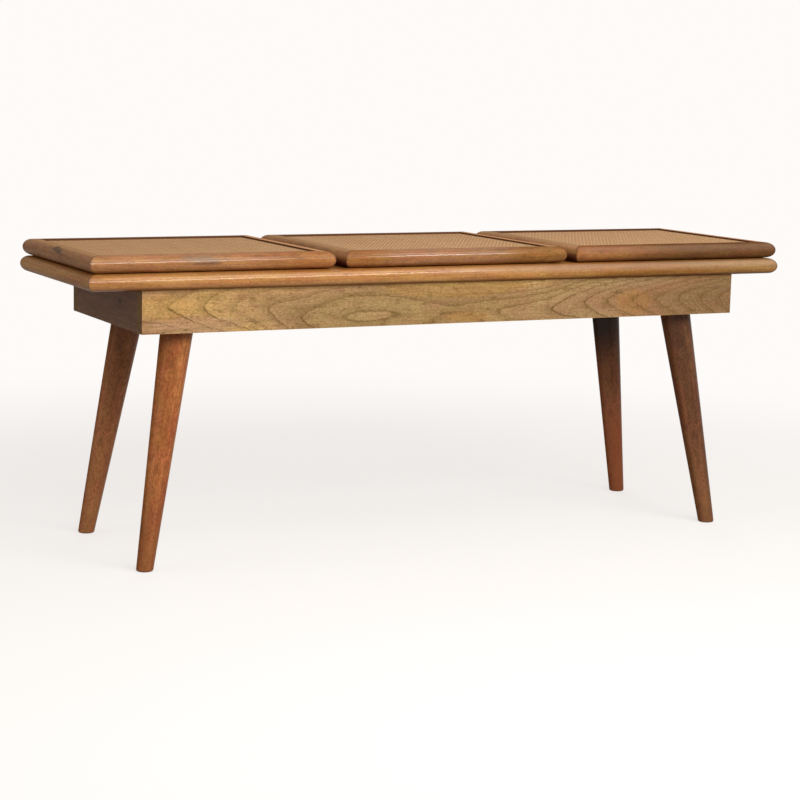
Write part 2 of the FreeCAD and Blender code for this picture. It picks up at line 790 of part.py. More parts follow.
base_dowel_sizes = (
    "bench_length", "bench_depth", "base_rail_width", "(base_bottom + base_thickness / 2)",
    "base_dowel_diameter", "base_dowel_length",
)
finish_set("base_corner_dowels", frame_dowels("0", *base_dowel_sizes, "0"))
base_rails = {
    "front": ("bench_length", "0", "-bench_depth / 2"),
    "rear": ("bench_length", "0", "bench_depth / 2"),
    "left": ("bench_depth", "-bench_length / 2", "0"),
    "right": ("bench_depth", "bench_length / 2", "0"),
}
for side, (length, x, y) in base_rails.items():
    rail = bullnose_rail(
        "base_%s_blank" % side, length, "base_rail_width", "base_thickness"
    )
    set_rail(rail, side, x, y, "base_bottom")
    tools = frame_dowels("0", *base_dowel_sizes, "dowel_clearance", side)
    if side in ("front", "rear"):
        tools += base_holes[side]
    finish("base_%s_rail" % side, without(rail, tools))
inside_across = "(bench_depth / 2 - base_rail_width)"
for side, along in (("left", -1), ("right", 1)):
    outer = "(%d) * (bench_length / 2 - base_rail_width)" % along
    inner = "(%d) * (apron_inner_along - end_board_lap)" % along
    ends = (outer, inner) if along < 0 else (inner, outer)
    blank = box(ends, ("-" + inside_across, inside_across), ("base_bottom", "base_top"))
    finish("base_%s_end_board" % side, without(blank, base_holes[side]))
    middle = "(%d) * lid_gap_along" % along
    finish("base_%s_cross_rail" % side, box(
        (middle + " - cross_rail_width / 2", middle + " + cross_rail_width / 2"),
        ("-" + inside_across, inside_across),
        ("base_bottom", "base_top"),
    ))

# Build everything, make sure that it is sound, and write one file per piece.

doc.recompute()
faults = []
for thing in doc.Objects:
    if "Invalid" in thing.State or "Error" in thing.State:
        faults.append("%s (%s): %s" % (thing.Label, thing.Name, thing.State))
for thing in finished:
    if thing.Shape.isNull() or not thing.Shape.isValid() or not thing.Shape.Solids:
        faults.append("%s has no sound shape" % thing.Label)
if faults:
    print("\n".join(faults))
    sys.exit(1)
os.makedirs("parts", exist_ok=True)
for thing in finished:
    thing.Shape.exportStep("parts/%s.step" % thing.Label)
    print("%-32s %2d solids %12.0f mm3" % (thing.Label, len(thing.Shape.Solids), thing.Shape.Volume))
whole = FreeCAD.BoundBox()
for thing in finished:
    whole.add(thing.Shape.optimalBoundingBox(True, False))
print("%d pieces, %.1f x %.1f x %.1f mm" % (len(finished), whole.XLength, whole.YLength, whole.ZLength))
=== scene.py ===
import math

import bmesh
import bpy
import numpy as np
from mathutils import Matrix, Vector


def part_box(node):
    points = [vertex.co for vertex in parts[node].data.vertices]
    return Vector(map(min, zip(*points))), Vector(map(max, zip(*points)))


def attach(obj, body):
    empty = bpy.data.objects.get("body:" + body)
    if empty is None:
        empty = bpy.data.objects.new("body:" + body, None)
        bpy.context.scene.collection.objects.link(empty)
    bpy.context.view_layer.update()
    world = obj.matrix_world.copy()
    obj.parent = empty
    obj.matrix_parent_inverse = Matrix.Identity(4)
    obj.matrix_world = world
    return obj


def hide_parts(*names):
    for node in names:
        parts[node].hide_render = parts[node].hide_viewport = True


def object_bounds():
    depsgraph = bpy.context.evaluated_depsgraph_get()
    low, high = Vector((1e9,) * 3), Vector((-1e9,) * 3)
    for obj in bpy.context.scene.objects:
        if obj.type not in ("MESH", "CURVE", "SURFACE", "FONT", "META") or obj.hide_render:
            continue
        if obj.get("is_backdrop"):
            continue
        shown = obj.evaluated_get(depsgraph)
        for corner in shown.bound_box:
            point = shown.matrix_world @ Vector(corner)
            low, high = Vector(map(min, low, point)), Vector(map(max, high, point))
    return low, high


# A long low bench with three woven lids over a shallow box. X runs along the
# bench, Y to its rear and Z up, in metres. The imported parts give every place.
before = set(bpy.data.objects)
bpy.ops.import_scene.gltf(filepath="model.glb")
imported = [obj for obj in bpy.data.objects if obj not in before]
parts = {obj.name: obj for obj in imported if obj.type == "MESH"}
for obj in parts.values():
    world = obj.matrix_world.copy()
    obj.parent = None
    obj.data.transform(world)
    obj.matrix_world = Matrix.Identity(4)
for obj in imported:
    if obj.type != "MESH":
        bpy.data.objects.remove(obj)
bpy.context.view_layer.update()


# Legs. Four round legs turned from a close-grained hardwood, splayed both ways
# and cut level at the floor. They are stained reddish brown under a thin satin
# lacquer, and each is bolted up into the bearer above it.


def colour(red, green, blue):
    """A colour as it looks on a screen, 0 to 255, in the shader's linear scale."""
    shares = (red / 255, green / 255, blue / 255)
    return (*(s / 12.92 if s <= 0.04045 else ((s + 0.055) / 1.055) ** 2.4 for s in shares), 1)


def put(tree, kind, inputs=None, **settings):
    """Place a node, set it up, and fill or wire its inputs."""
    node = tree.nodes.new(kind)
    for name, value in settings.items():
        setattr(node, name, value)
    for name, value in (inputs or {}).items():
        if isinstance(value, bpy.types.NodeSocket):
            tree.links.new(value, node.inputs[name])
        else:
            node.inputs[name].default_value = value
    return node


def figure(tree, operation, *values, clamp=False):
    """The result of a Math node."""
    inputs = dict(enumerate(values))
    return put(tree, "ShaderNodeMath", inputs, operation=operation, use_clamp=clamp).outputs[0]


def times(tree, first, *others):
    """The product of two or more values."""
    for other in others:
        first = figure(tree, "MULTIPLY", first, other)
    return first


def vectors(tree, operation, *values):
    """The result of a Vector Math node: a vector, a length or a dot product."""
    node = put(tree, "ShaderNodeVectorMath", dict(enumerate(values)), operation=operation)
    return node.outputs["Value" if operation in ("LENGTH", "DOT_PRODUCT") else "Vector"]


def own_place(tree):
    """Where a point lies in the frame, from its object's own axes."""
    return put(tree, "ShaderNodeTexCoord").outputs["Object"]


def own_axes(tree):
    """The X, Y and Z of that place, each by itself."""
    return put(tree, "ShaderNodeSeparateXYZ", {"Vector": own_place(tree)}).outputs


def facing_up(tree):
    """How far a face looks up, from -1 to 1."""
    face = put(tree, "ShaderNodeTexCoord").outputs["Normal"]
    return put(tree, "ShaderNodeSeparateXYZ", {"Vector": face}).outputs["Z"]


def mixed(tree, share, first, second, how="MIX"):
    """A mix of two colours."""
    inputs = {0: share, 6: first, 7: second}
    return put(tree, "ShaderNodeMix", inputs, data_type="RGBA", blend_type=how).outputs[2]


def ramp(tree, value, low, high, to_low=0.0, to_high=1.0, smooth=True):
    """A value eased from one range to another."""
    inputs = {0: value, 1: low, 2: high, 3: to_low, 4: to_high}
    way = "SMOOTHSTEP" if smooth else "LINEAR"
    return put(tree, "ShaderNodeMapRange", inputs, interpolation_type=way).outputs[0]


def noise(tree, place, stretch, detail=2.0, roughness=0.5):
    """Noise whose cells are drawn out by a scale for each axis, per metre."""
    spread = vectors(tree, "MULTIPLY", place, stretch)
    inputs = {"Vector": spread, "Scale": 1.0, "Detail": detail, "Roughness": roughness}
    return put(tree, "ShaderNodeTexNoise", inputs).outputs[0]


def new_effect(name, inputs, outputs):
    """An empty node group with named sockets, its input node and output node."""
    effect = bpy.data.node_groups.new(name, "ShaderNodeTree")
    for label, kind in inputs.items():
        effect.interface.new_socket(label, in_out="INPUT", socket_type="NodeSocket" + kind)
    for label, kind in outputs.items():
        effect.interface.new_socket(label, in_out="OUTPUT", socket_type="NodeSocket" + kind)
    return effect, effect.nodes.new("NodeGroupInput").outputs, effect.nodes.new("NodeGroupOutput")


# How far a point of a trunk lies from its heart, with the slow wander that makes
# the rings run out of a sawn face.
ring_distance, given, result = new_effect(
    "Ring distance",
    {"Place": "Vector", "Heart": "Vector", "Wander": "Float"},
    {"Level": "Float"},
)
drift = put(ring_distance, "ShaderNodeTexNoise", {"Vector": given["Place"], "Scale": 4.0, "Detail": 2.0})
drift = vectors(ring_distance, "SUBTRACT", drift.outputs["Color"], (0.5, 0.5, 0.5))
drift = vectors(ring_distance, "MULTIPLY", drift, given["Wander"])
from_heart = vectors(ring_distance, "ADD", given["Place"], given["Heart"])
from_heart = vectors(ring_distance, "ADD", from_heart, drift)
across_trunk = vectors(ring_distance, "MULTIPLY", from_heart, (0.03, 1.0, 1.0))
ring_distance.links.new(vectors(ring_distance, "LENGTH", across_trunk), result.inputs["Level"])

# The timber itself: a dark line at the end of each year's ring, tone that drifts
# along the board, fine fibres, and the short open pores of a tropical hardwood.
# Grain runs along the X of Place. Face is the surface normal in the same axes.
timber_grain, given, result = new_effect(
    "Timber grain",
    {
        "Place": "Vector", "Face": "Vector", "Level": "Float", "Ring": "Float",
        "Pale": "Color", "Warm": "Color", "Dark": "Color",
        "Lines": "Float", "Streaks": "Float", "Pores": "Float", "Gloss": "Float",
        "Uneven": "Float", "Late": "Float", "Rub and highlight": "Float", "Mottle": "Float",
        "Flecks": "Float", "Tinge": "Float",
    },
    {"Color": "Color", "Roughness": "Float", "Height": "Float", "Polish": "Float"},
)
tree = timber_grain
rings = figure(tree, "DIVIDE", given["Level"], given["Ring"])
uneven = put(
    tree, "ShaderNodeTexNoise", {"W": rings, "Scale": 0.37, "Detail": 1.0}, noise_dimensions="1D"
)
rings = figure(tree, "MULTIPLY_ADD", uneven.outputs[0], given["Uneven"], rings)
wobble = noise(tree, given["Place"], (9, 75, 75), 2.0)
wobble = times(tree, wobble, given["Uneven"], 0.15)
rings = figure(tree, "ADD", wobble, rings)
share_of_ring = figure(tree, "FRACT", rings)
late_wood = ramp(tree, share_of_ring, given["Late"], 0.94)
new_year = ramp(tree, share_of_ring, 0.95, 1.0, 1.0, 0.0)
ring_line = times(tree, figure(tree, "POWER", late_wood, 3.0), new_year)
year = put(tree, "ShaderNodeTexWhiteNoise", {"W": figure(tree, "FLOOR", rings)}, noise_dimensions="1D")
faint_years = ramp(tree, year.outputs["Value"], 0.15, 0.9)
alike = figure(tree, "SUBTRACT", 1.0, figure(tree, "MULTIPLY", given["Uneven"], 0.3, clamp=True))
faint_years = put(tree, "ShaderNodeMapRange", {0: faint_years, 3: alike, 4: 1.0}).outputs[0]
broken = ramp(tree, noise(tree, given["Place"], (5, 30, 30)), 0.35, 0.6, 0.4, 1.0)
ring_line = times(tree, ring_line, faint_years, broken)
year_tone = ramp(tree, year.outputs["Value"], 0.0, 1.0, -0.05, 0.05, smooth=False)
drifting = noise(tree, given["Place"], (3.2, 22, 22), 3.0, 0.6)
warmth = ramp(tree, figure(tree, "ADD", drifting, year_tone), 0.32, 0.68)
body = mixed(tree, warmth, given["Pale"], given["Warm"])
fibre = noise(tree, given["Place"], (14, 520, 520), 3.0, 0.65)
streak = noise(tree, given["Place"], (5, 170, 170), 2.0, 0.6)
fibre_tone = figure(tree, "MULTIPLY_ADD", fibre, 0.55, times(tree, streak, 0.45))
fibre_share = ramp(tree, fibre_tone, 0.38, 0.66)
body = mixed(tree, times(tree, fibre_share, given["Streaks"]), body, given["Dark"])
body = mixed(tree, times(tree, ring_line, given["Lines"]), body, given["Dark"])
mottle = noise(tree, given["Place"], (50, 120, 120), 4.0, 0.72)
dark_spots = times(tree, ramp(tree, mottle, 0.5, 0.7), given["Mottle"])
body = mixed(tree, dark_spots, body, given["Dark"])
pale_spots = times(tree, ramp(tree, mottle, 0.3, 0.47, 1.0, 0.0), given["Mottle"])
body = mixed(tree, pale_spots, body, given["Pale"])
fleck = noise(tree, given["Place"], (240, 420, 420), 1.5, 0.6)
fleck = times(tree, figure(tree, "SUBTRACT", fleck, 0.5), given["Flecks"])
tinge = noise(tree, given["Place"], (26, 85, 85), 3.0, 0.6)
tinge = times(tree, figure(tree, "SUBTRACT", tinge, 0.5), given["Tinge"])
body = put(
    tree, "ShaderNodeHueSaturation",
    {"Hue": figure(tree, "ADD", tinge, 0.5), "Value": figure(tree, "ADD", fleck, 1.0), "Color": body},
).outputs[0]
pore = noise(tree, given["Place"], (70, 1300, 1300), 1.0)
pore_share = ramp(tree, pore, 0.63, 0.72)
body = mixed(tree, times(tree, pore_share, given["Pores"]), body, given["Dark"])
along_face = put(tree, "ShaderNodeSeparateXYZ", {0: given["Face"]})
end_grain = ramp(tree, figure(tree, "ABSOLUTE", along_face.outputs[0]), 0.75, 0.97, 0.0, 0.55)
body = mixed(tree, end_grain, body, given["Dark"])
upward = along_face.outputs["Z"]
# Painted highlight: the shoulder of a rounded edge, found by how far it faces up, is mixed towards a pale
# pink, partly as rubbed wear and partly as a painted highlight.
shoulder = times(tree, ramp(tree, upward, 0.35, 0.62), ramp(tree, upward, 0.75, 0.93, 1.0, 0.0))
rub_and_highlight_share = ramp(tree, noise(tree, given["Place"], (12, 60, 60), 3.0, 0.6), 0.3, 0.62)
rub_and_highlight_share = times(tree, shoulder, rub_and_highlight_share, given["Rub and highlight"])
body = mixed(tree, rub_and_highlight_share, body, colour(228, 184, 150))
tree.links.new(body, result.inputs["Color"])
tree.links.new(ramp(tree, upward, 0.88, 0.99, 1.0, 0.1), result.inputs["Polish"])
dull = figure(tree, "MULTIPLY_ADD", fibre_tone, 0.12, figure(tree, "SUBTRACT", given["Gloss"], 0.06))
dull = figure(tree, "MULTIPLY_ADD", pore_share, 0.15, dull)
dull = figure(tree, "MULTIPLY_ADD", end_grain, 0.3, dull)
dull = figure(tree, "ADD", dull, ramp(tree, upward, 0.8, 0.98, 0.0, 0.5))
tree.links.new(dull, result.inputs["Roughness"])
hollow = times(tree, pore_share, given["Pores"])
height = figure(tree, "SUBTRACT", times(tree, fibre_tone, 0.35), hollow)
height = figure(tree, "MULTIPLY_ADD", ring_line, -0.2, height)
tree.links.new(height, result.inputs["Height"])

# A knot or a stain: a soft oval with a wavering outline, and the dark ring round it.
spot, given, result = new_effect(
    "Spot", {"Place": "Vector", "Middle": "Vector", "Scale": "Vector"}, {"Fill": "Float", "Ring": "Float"}
)
away = vectors(spot, "SUBTRACT", given["Place"], given["Middle"])
away = vectors(spot, "MULTIPLY", away, given["Scale"])
ragged = put(spot, "ShaderNodeTexNoise", {"Vector": away, "Scale": 1.3, "Detail": 3.0})
spread = figure(spot, "MULTIPLY_ADD", ragged.outputs[0], 0.7, vectors(spot, "LENGTH", away))
spot.links.new(ramp(spot, spread, 0.75, 1.4, 1.0, 0.0), result.inputs["Fill"])
inner = ramp(spot, spread, 0.8, 1.1)
spot_ring = times(spot, inner, ramp(spot, spread, 1.1, 1.45, 1.0, 0.0))
spot.links.new(spot_ring, result.inputs["Ring"])

# Rubbed edges: where a corner of the wood is, found by rounding it a little.
rubbed_edge, given, result = new_effect("Rubbed edge", {"Reach": "Float"}, {"Share": "Float"})
rounded = put(rubbed_edge, "ShaderNodeBevel", {"Radius": given["Reach"]}, samples=4)
flat = put(rubbed_edge, "ShaderNodeNewGeometry")
turned = vectors(rubbed_edge, "DOT_PRODUCT", rounded.outputs[0], flat.outputs["Normal"])
edge_share = ramp(rubbed_edge, turned, 0.995, 0.85)
rubbed_edge.links.new(edge_share, result.inputs["Share"])


def dress(part, finish):
    """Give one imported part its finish."""
    mesh = parts[part].data
    mesh.materials.clear()
    mesh.materials.append(finish)


def grain_axes(tree, middle, along):
    """Where a point is from a piece's middle, and its normal, with X along the grain."""
    turn = Vector(along).normalized().rotation_difference(Vector((1, 0, 0)))
    shift = -(turn @ Vector(middle))
    own = put(tree, "ShaderNodeTexCoord").outputs
    inputs = {"Vector": own["Object"], "Location": shift, "Rotation": turn.to_euler()}
    place = put(tree, "ShaderNodeMapping", inputs)
    inputs = {"Vector": own["Normal"], "Rotation": turn.to_euler()}
    face = put(tree, "ShaderNodeMapping", inputs, vector_type="VECTOR")
    return place.outputs[0], face.outputs[0]


def new_finish(name):
    """An empty material and its shader."""
    finish = bpy.data.materials.new(name)
    finish.use_nodes = True
    finish.node_tree.nodes.clear()
    shader = finish.node_tree.nodes.new("ShaderNodeBsdfPrincipled")
    out = finish.node_tree.nodes.new("ShaderNodeOutputMaterial")
    finish.node_tree.links.new(shader.outputs[0], out.inputs[0])
    return finish, shader


def give_surface(tree, shader, rough, height, strength, depth):
    """Wire a roughness and a fine relief into a shader."""
    tree.links.new(rough, shader.inputs["Roughness"])
    bump = put(tree, "ShaderNodeBump", {"Strength": strength, "Distance": depth, "Height": height})
    tree.links.new(bump.outputs[0], shader.inputs["Normal"])


def ring_level(tree, place, heart, wander):
    """How far a point lies from the heart of the trunk that a piece was sawn from."""
    inputs = {"Place": place, "Heart": heart, "Wander": wander}
    return put(tree, "ShaderNodeGroup", inputs, node_tree=ring_distance).outputs["Level"]


PLAIN_GRAIN = {"Uneven": 2.4, "Late": 0.45, "Rub and highlight": 0.0, "Mottle": 0.3, "Flecks": 0.8, "Tinge": 0.05}


def lay_timber(tree, shader, place, face, level, look, coat):
    """Wire a timber into a shader: its sheen and its open grain. Gives its colour."""
    inputs = dict(PLAIN_GRAIN, Place=place, Face=face, Level=level)
    inputs.update(look)
    grain = put(tree, "ShaderNodeGroup", inputs, node_tree=timber_grain).outputs
    give_surface(tree, shader, grain["Roughness"], grain["Height"], 0.35, 0.0004)
    tree.links.new(times(tree, grain["Polish"], coat), shader.inputs["Coat Weight"])
    shader.inputs["IOR"].default_value = 1.08
    shader.inputs["Coat Roughness"].default_value = 0.18
    return grain["Color"]


def rub_edges(tree, body, light, reach=0.0012, most=0.45):
    """The same colour, paler along its edges where the stain is rubbed thin."""
    edge = put(tree, "ShaderNodeGroup", {"Reach": reach}, node_tree=rubbed_edge)
    return mixed(tree, times(tree, edge.outputs["Share"], most), body, light)


def marked(tree, body, middle, reach, fill, ring, share=0.7):
    """A colour with one knot or stain on it. Reach is its half size each way."""
    inputs = {"Place": own_place(tree), "Middle": middle, "Scale": [1 / size for size in reach]}
    mark = put(tree, "ShaderNodeGroup", inputs, node_tree=spot).outputs
    body = mixed(tree, times(tree, mark["Fill"], share), body, fill)
    return mixed(tree, times(tree, mark["Ring"], share), body, ring)


# How far apart along, across and up their trunk two pieces with seeds one apart lie.
APART = (0.731, 0.117, 0.219)


def dress_timber(
    part, along, look, seed=0, heart=(0, 0.05, 0.03), wander=0.02, coat=0.25, edge=None, marks_and_shade=None
):
    """Give one straight piece its wood. No two seeds show the same grain."""
    low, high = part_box(part)
    finish, shader = new_finish(part + " timber")
    tree = finish.node_tree
    place, face = grain_axes(tree, (low + high) / 2, along)
    shift = [step * seed for step in APART]
    place = vectors(tree, "ADD", place, shift)
    level = ring_level(tree, place, (heart[0], heart[1] - shift[1], heart[2] - shift[2]), wander)
    coat = coat(tree) if callable(coat) else coat
    body = lay_timber(tree, shader, place, face, level, look, coat)
    if edge:
        body = rub_edges(tree, body, edge)
    if marks_and_shade:
        body = marks_and_shade(tree, body)
    tree.links.new(body, shader.inputs["Base Color"])
    dress(part, finish)


def ring_middle(part, height):
    """The middle of a leg's section at a height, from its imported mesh."""
    points = np.array([v.co for v in parts[part].data.vertices])
    level = points[np.abs(points[:, 2] - height) < 0.0002]
    return Vector((level.min(0) + level.max(0)) / 2)


# Each leg's pale, warm and dark tones, the heart of its trunk, and how much painted shadow from the box
# darkens its top.
LEG_LOOKS = {
    "front_left": (colour(198, 128, 76), colour(166, 98, 54), colour(92, 44, 26), (0, 0.016, 0.012), 0.0),
    "front_right": (colour(140, 90, 58), colour(105, 66, 43), colour(58, 34, 24), (0, 0.02, -0.012), 0.2),
    "rear_left": (colour(184, 120, 76), colour(154, 98, 60), colour(80, 44, 28), (0, -0.03, 0.012), 0.05),
    "rear_right": (colour(162, 104, 68), colour(134, 82, 52), colour(60, 38, 26), (0, 0.01, 0.034), 0.88),
}
# The colour of the painted shadow on the tops of the legs.
PAINTED_SHADOW = colour(46, 38, 32)
# The shade that each foot has taken: its colour and how much of it there is.
LEG_FEET = {
    "front_left": (colour(112, 60, 34), 0.5), "front_right": (colour(150, 104, 66), 0.2),
    "rear_left": (colour(170, 112, 66), 0.2), "rear_right": (colour(160, 84, 48), 0.6),
}
for corner, (pale, warm, dark, heart, shadow_share) in LEG_LOOKS.items():
    leg = corner + "_leg"
    low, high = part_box(leg)
    top = ring_middle(leg, high.z)
    foot = ring_middle(leg, low.z)
    finish, shader = new_finish(corner + " leg stain")
    tree = finish.node_tree
    place, face = grain_axes(tree, (top + foot) / 2, top - foot)
    look = {
        "Ring": 0.0042, "Pale": pale, "Warm": warm, "Dark": dark,
        "Lines": 0.2, "Streaks": 0.16, "Pores": 0.45, "Gloss": 0.42, "Mottle": 0.45, "Flecks": 1.3,
    }
    level = ring_level(tree, place, heart, 0.014)
    body = lay_timber(tree, shader, place, face, level, look, 0.2)
    # Painted shadow: the top of the leg, under the box, is darkened, with a cloudy lower edge.
    cloud = noise(tree, own_place(tree), (9, 9, 5), 3.0)
    height = figure(tree, "MULTIPLY_ADD", cloud, 0.12, own_axes(tree)["Z"])
    painted_shadow = ramp(tree, height, 0.27, 0.37, 0.0, shadow_share)
    body = mixed(tree, painted_shadow, body, PAINTED_SHADOW)
    foot_tint, foot_share = LEG_FEET[corner]
    body = mixed(tree, ramp(tree, height, 0.12, 0.24, foot_share, 0.0), body, foot_tint)
    tree.links.new(rub_edges(tree, body, pale, 0.002), shader.inputs["Base Color"])
    dress(leg, finish)


# Bearers and leg fixings. A thick cross board at each end of the box takes two
# legs. A zinc-plated hanger bolt joins each leg to a tee nut let into the board's
# top, and all but the boards' undersides is hidden.

BEARER_LOOK = {
    "Ring": 0.006, "Pale": colour(176, 136, 92), "Warm": colour(150, 108, 68),
    "Dark": colour(92, 62, 40), "Lines": 0.5, "Streaks": 0.4, "Pores": 0.5, "Gloss": 0.6,
}
for seed, part in enumerate(("left_leg_bearer", "right_leg_bearer"), 3):
    dress_timber(part, (0, 1, 0), BEARER_LOOK, seed, coat=0.0)


def metal(name, tint, dull, scratches=(900, 900, 900), spots=colour(90, 84, 74)):
    """A plated or drawn metal with fine scratches and a little tarnish."""
    finish, shader = new_finish(name)
    tree = finish.node_tree
    scratch = noise(tree, own_place(tree), scratches, 2.0)
    tarnish = noise(tree, own_place(tree), (160, 160, 160), 4.0, 0.65)
    share = ramp(tree, tarnish, 0.5, 0.75, 0.0, 0.45)
    tree.links.new(mixed(tree, share, tint, spots), shader.inputs["Base Color"])
    rough = figure(tree, "MULTIPLY_ADD", scratch, 0.25, dull - 0.1)
    rough = figure(tree, "MULTIPLY_ADD", share, 0.4, rough)
    give_surface(tree, shader, rough, scratch, 0.2, 0.0001)
    shader.inputs["Metallic"].default_value = 1.0
    return finish


zinc = metal("Zinc plate", colour(124, 122, 116), 0.62)
dress("leg_hanger_bolts", zinc)
dress("leg_tee_nuts", zinc)


# The box below the base frame. Four boards of a pale yellow hardwood, the long
# ones lapping the short ones, with a plywood floor in a groove and two dividers.
# The front board is flat-sawn and shows nested arches that point to the left.

APRON_PALE = colour(190, 152, 102)
APRON_WARM = colour(172, 134, 88)
APRON_DARK = colour(112, 84, 48)
front_low, front_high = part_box("apron_front_board")
board_length = front_high.x - front_low.x
board_height = front_high.z - front_low.z
finish, shader = new_finish("Front board timber")
tree = finish.node_tree
place, face = grain_axes(tree, front_low, (1, 0, 0))


def wavered(tree, place, scale, reach):
    """The same place with a waver of its own in each axis."""
    drift = put(tree, "ShaderNodeTexNoise", {"Vector": place, "Scale": scale, "Detail": 2.0})
    drift = vectors(tree, "SUBTRACT", drift.outputs["Color"], (0.5, 0.5, 0.5))
    return vectors(tree, "ADD", place, vectors(tree, "MULTIPLY", drift, reach))


def drawn_curve(tree, value, points):
    """A hand-drawn curve through points, from 0 to 1 both ways."""
    node = put(tree, "ShaderNodeFloatCurve", {"Value": value})
    curve = node.mapping.curves[0]
    curve.points[0].location = points[0]
    curve.points[-1].location = points[-1]
    for point in points[1:-1]:
        curve.points.new(*point)
    node.mapping.update()
    return node.outputs[0]


# How deep the saw went into the trunk along the board, as a share of its length.
# It rises to a closed loop, dips, and rises again to the right.
RIDGE = [
    (0.0, 0.02), (0.05, 0.05), (0.1, 0.1), (0.2, 0.2), (0.25, 0.25), (0.315, 0.297), (0.36, 0.303),
    (0.4, 0.297), (0.5, 0.25), (0.58, 0.3), (0.67, 0.35), (0.77, 0.45), (0.86, 0.55), (1.0, 0.74),
]
# How high on the board the tips of the arches lie, as a share of its height.
TIP_HEIGHT = [
    (0.0, 0.62), (0.12, 0.6), (0.2, 0.46), (0.25, 0.27), (0.4, 0.27), (0.5, 0.36), (0.6, 0.26),
    (0.67, 0.3), (0.73, 0.42), (1.0, 0.4),
]
bent_place = wavered(tree, wavered(tree, place, 15.0, (0.016, 0.0, 0.005)), 90.0, (0.008, 0.0, 0.004))
bent_place = wavered(tree, bent_place, 320.0, (0.004, 0.0, 0.0025))
board_x, board_y, board_z = put(tree, "ShaderNodeSeparateXYZ", {"Vector": bent_place}).outputs
share_along = figure(tree, "DIVIDE", board_x, board_length)
ridge = times(tree, drawn_curve(tree, share_along, RIDGE), board_length)
tip_height = times(tree, drawn_curve(tree, share_along, TIP_HEIGHT), board_height)
from_tip = figure(tree, "SUBTRACT", board_z, tip_height)
# How steeply the limbs of an arch fall away from its tip, below it and above it.
below_tip = 17.0
above_tip = ramp(tree, board_x, 0.35, 0.6, 15.7, 37.0)
above = ramp(tree, from_tip, -0.0005, 0.0005)
fall = put(tree, "ShaderNodeMapRange", {0: above, 3: below_tip, 4: above_tip}).outputs[0]
arch = times(tree, figure(tree, "POWER", figure(tree, "ABSOLUTE", from_tip), 1.6), fall)
level = figure(tree, "SUBTRACT", ridge, arch)
level = figure(tree, "MULTIPLY_ADD", board_y, 0.9, level)
# The level of the trunk at the first line, how far on each next line lies, and
# the level of a year between the first two arches that left no line.
FIRST_LINE = 0.043
YEAR = 0.05
MISSING_YEAR = 0.143
zones = put(tree, "ShaderNodeValToRGB", {"Fac": figure(tree, "MULTIPLY_ADD", level, 1.25, 0.15)})
zones.color_ramp.interpolation = "B_SPLINE"
ZONES = [
    (0.0, colour(171, 130, 98)), (0.13, colour(185, 142, 102)), (0.19, colour(203, 162, 110)),
    (0.25, colour(207, 172, 106)), (0.33, colour(197, 158, 110)), (0.40, colour(176, 145, 103)),
    (0.46, colour(162, 133, 87)), (0.50, colour(184, 155, 105)), (0.58, colour(178, 147, 107)),
    (0.70, colour(169, 134, 96)), (0.78, colour(155, 112, 78)), (0.85, colour(157, 128, 90)),
    (1.0, colour(145, 116, 84)),
]
while len(zones.color_ramp.elements) < len(ZONES):
    zones.color_ramp.elements.new(0.5)
for stop, (where, tint) in zip(zones.color_ramp.elements, ZONES):
    stop.position = where
    stop.color = tint
zone = zones.outputs[0]
blotch = ramp(tree, noise(tree, place, (14, 40, 40), 4.0, 0.65), 0.45, 0.68, 0.0, 0.5)
zone = mixed(tree, blotch, zone, colour(170, 132, 96))
from_first = figure(tree, "SUBTRACT", level, FIRST_LINE)
fine_years = figure(tree, "FRACT", figure(tree, "DIVIDE", from_first, YEAR / 4))
fine_years = ramp(tree, fine_years, 0.72, 0.95)
patchy = ramp(tree, noise(tree, place, (9, 26, 26), 2.0), 0.42, 0.62)
to_right = ramp(tree, board_x, 0.65, 0.88, 0.15, 0.6)
fine_years = times(tree, fine_years, patchy, to_right)
zone = mixed(tree, fine_years, zone, APRON_DARK)
wide_year = figure(tree, "FRACT", figure(tree, "DIVIDE", from_first, YEAR))
zone = mixed(tree, ramp(tree, wide_year, 0.45, 0.95, 0.0, 0.3), zone, APRON_DARK)
# Stained patches: place along and up, reach along and up, tint and share.
PATCHES = [
    (0.0, 0.393, 0.13, 0.016, colour(177, 138, 78), 0.55),
    (-0.41, 0.351, 0.075, 0.013, colour(193, 154, 120), 0.55),
    (0.31, 0.362, 0.034, 0.02, colour(182, 132, 76), 0.35),
    (-0.46, 0.376, 0.045, 0.02, colour(206, 162, 92), 0.35),
    (0.02, 0.349, 0.04, 0.007, colour(189, 144, 82), 0.4),
]
for x, z, length, height, tint, share in PATCHES:
    zone = marked(tree, zone, (x, front_low.y, z), (length, 0.1, height), tint, tint, share)
missing_line = figure(tree, "ABSOLUTE", figure(tree, "SUBTRACT", level, MISSING_YEAR))
line_share = ramp(tree, missing_line, 0.012, 0.03, 0.0, 0.9)
below_dip = vectors(tree, "SUBTRACT", place, (board_length / 2, 0.0, 0.0))
below_dip = vectors(tree, "LENGTH", vectors(tree, "MULTIPLY", below_dip, (9.0, 0.0, 45.0)))
line_share = times(tree, line_share, ramp(tree, below_dip, 0.7, 1.1, 0.1, 1.0))
# The upper limbs of the first arches are fainter than the lower ones.
faint_limb = times(tree, above, ramp(tree, board_x, 0.2, 0.3, 0.6, 0.0))
line_share = times(tree, line_share, figure(tree, "SUBTRACT", 1.0, faint_limb))
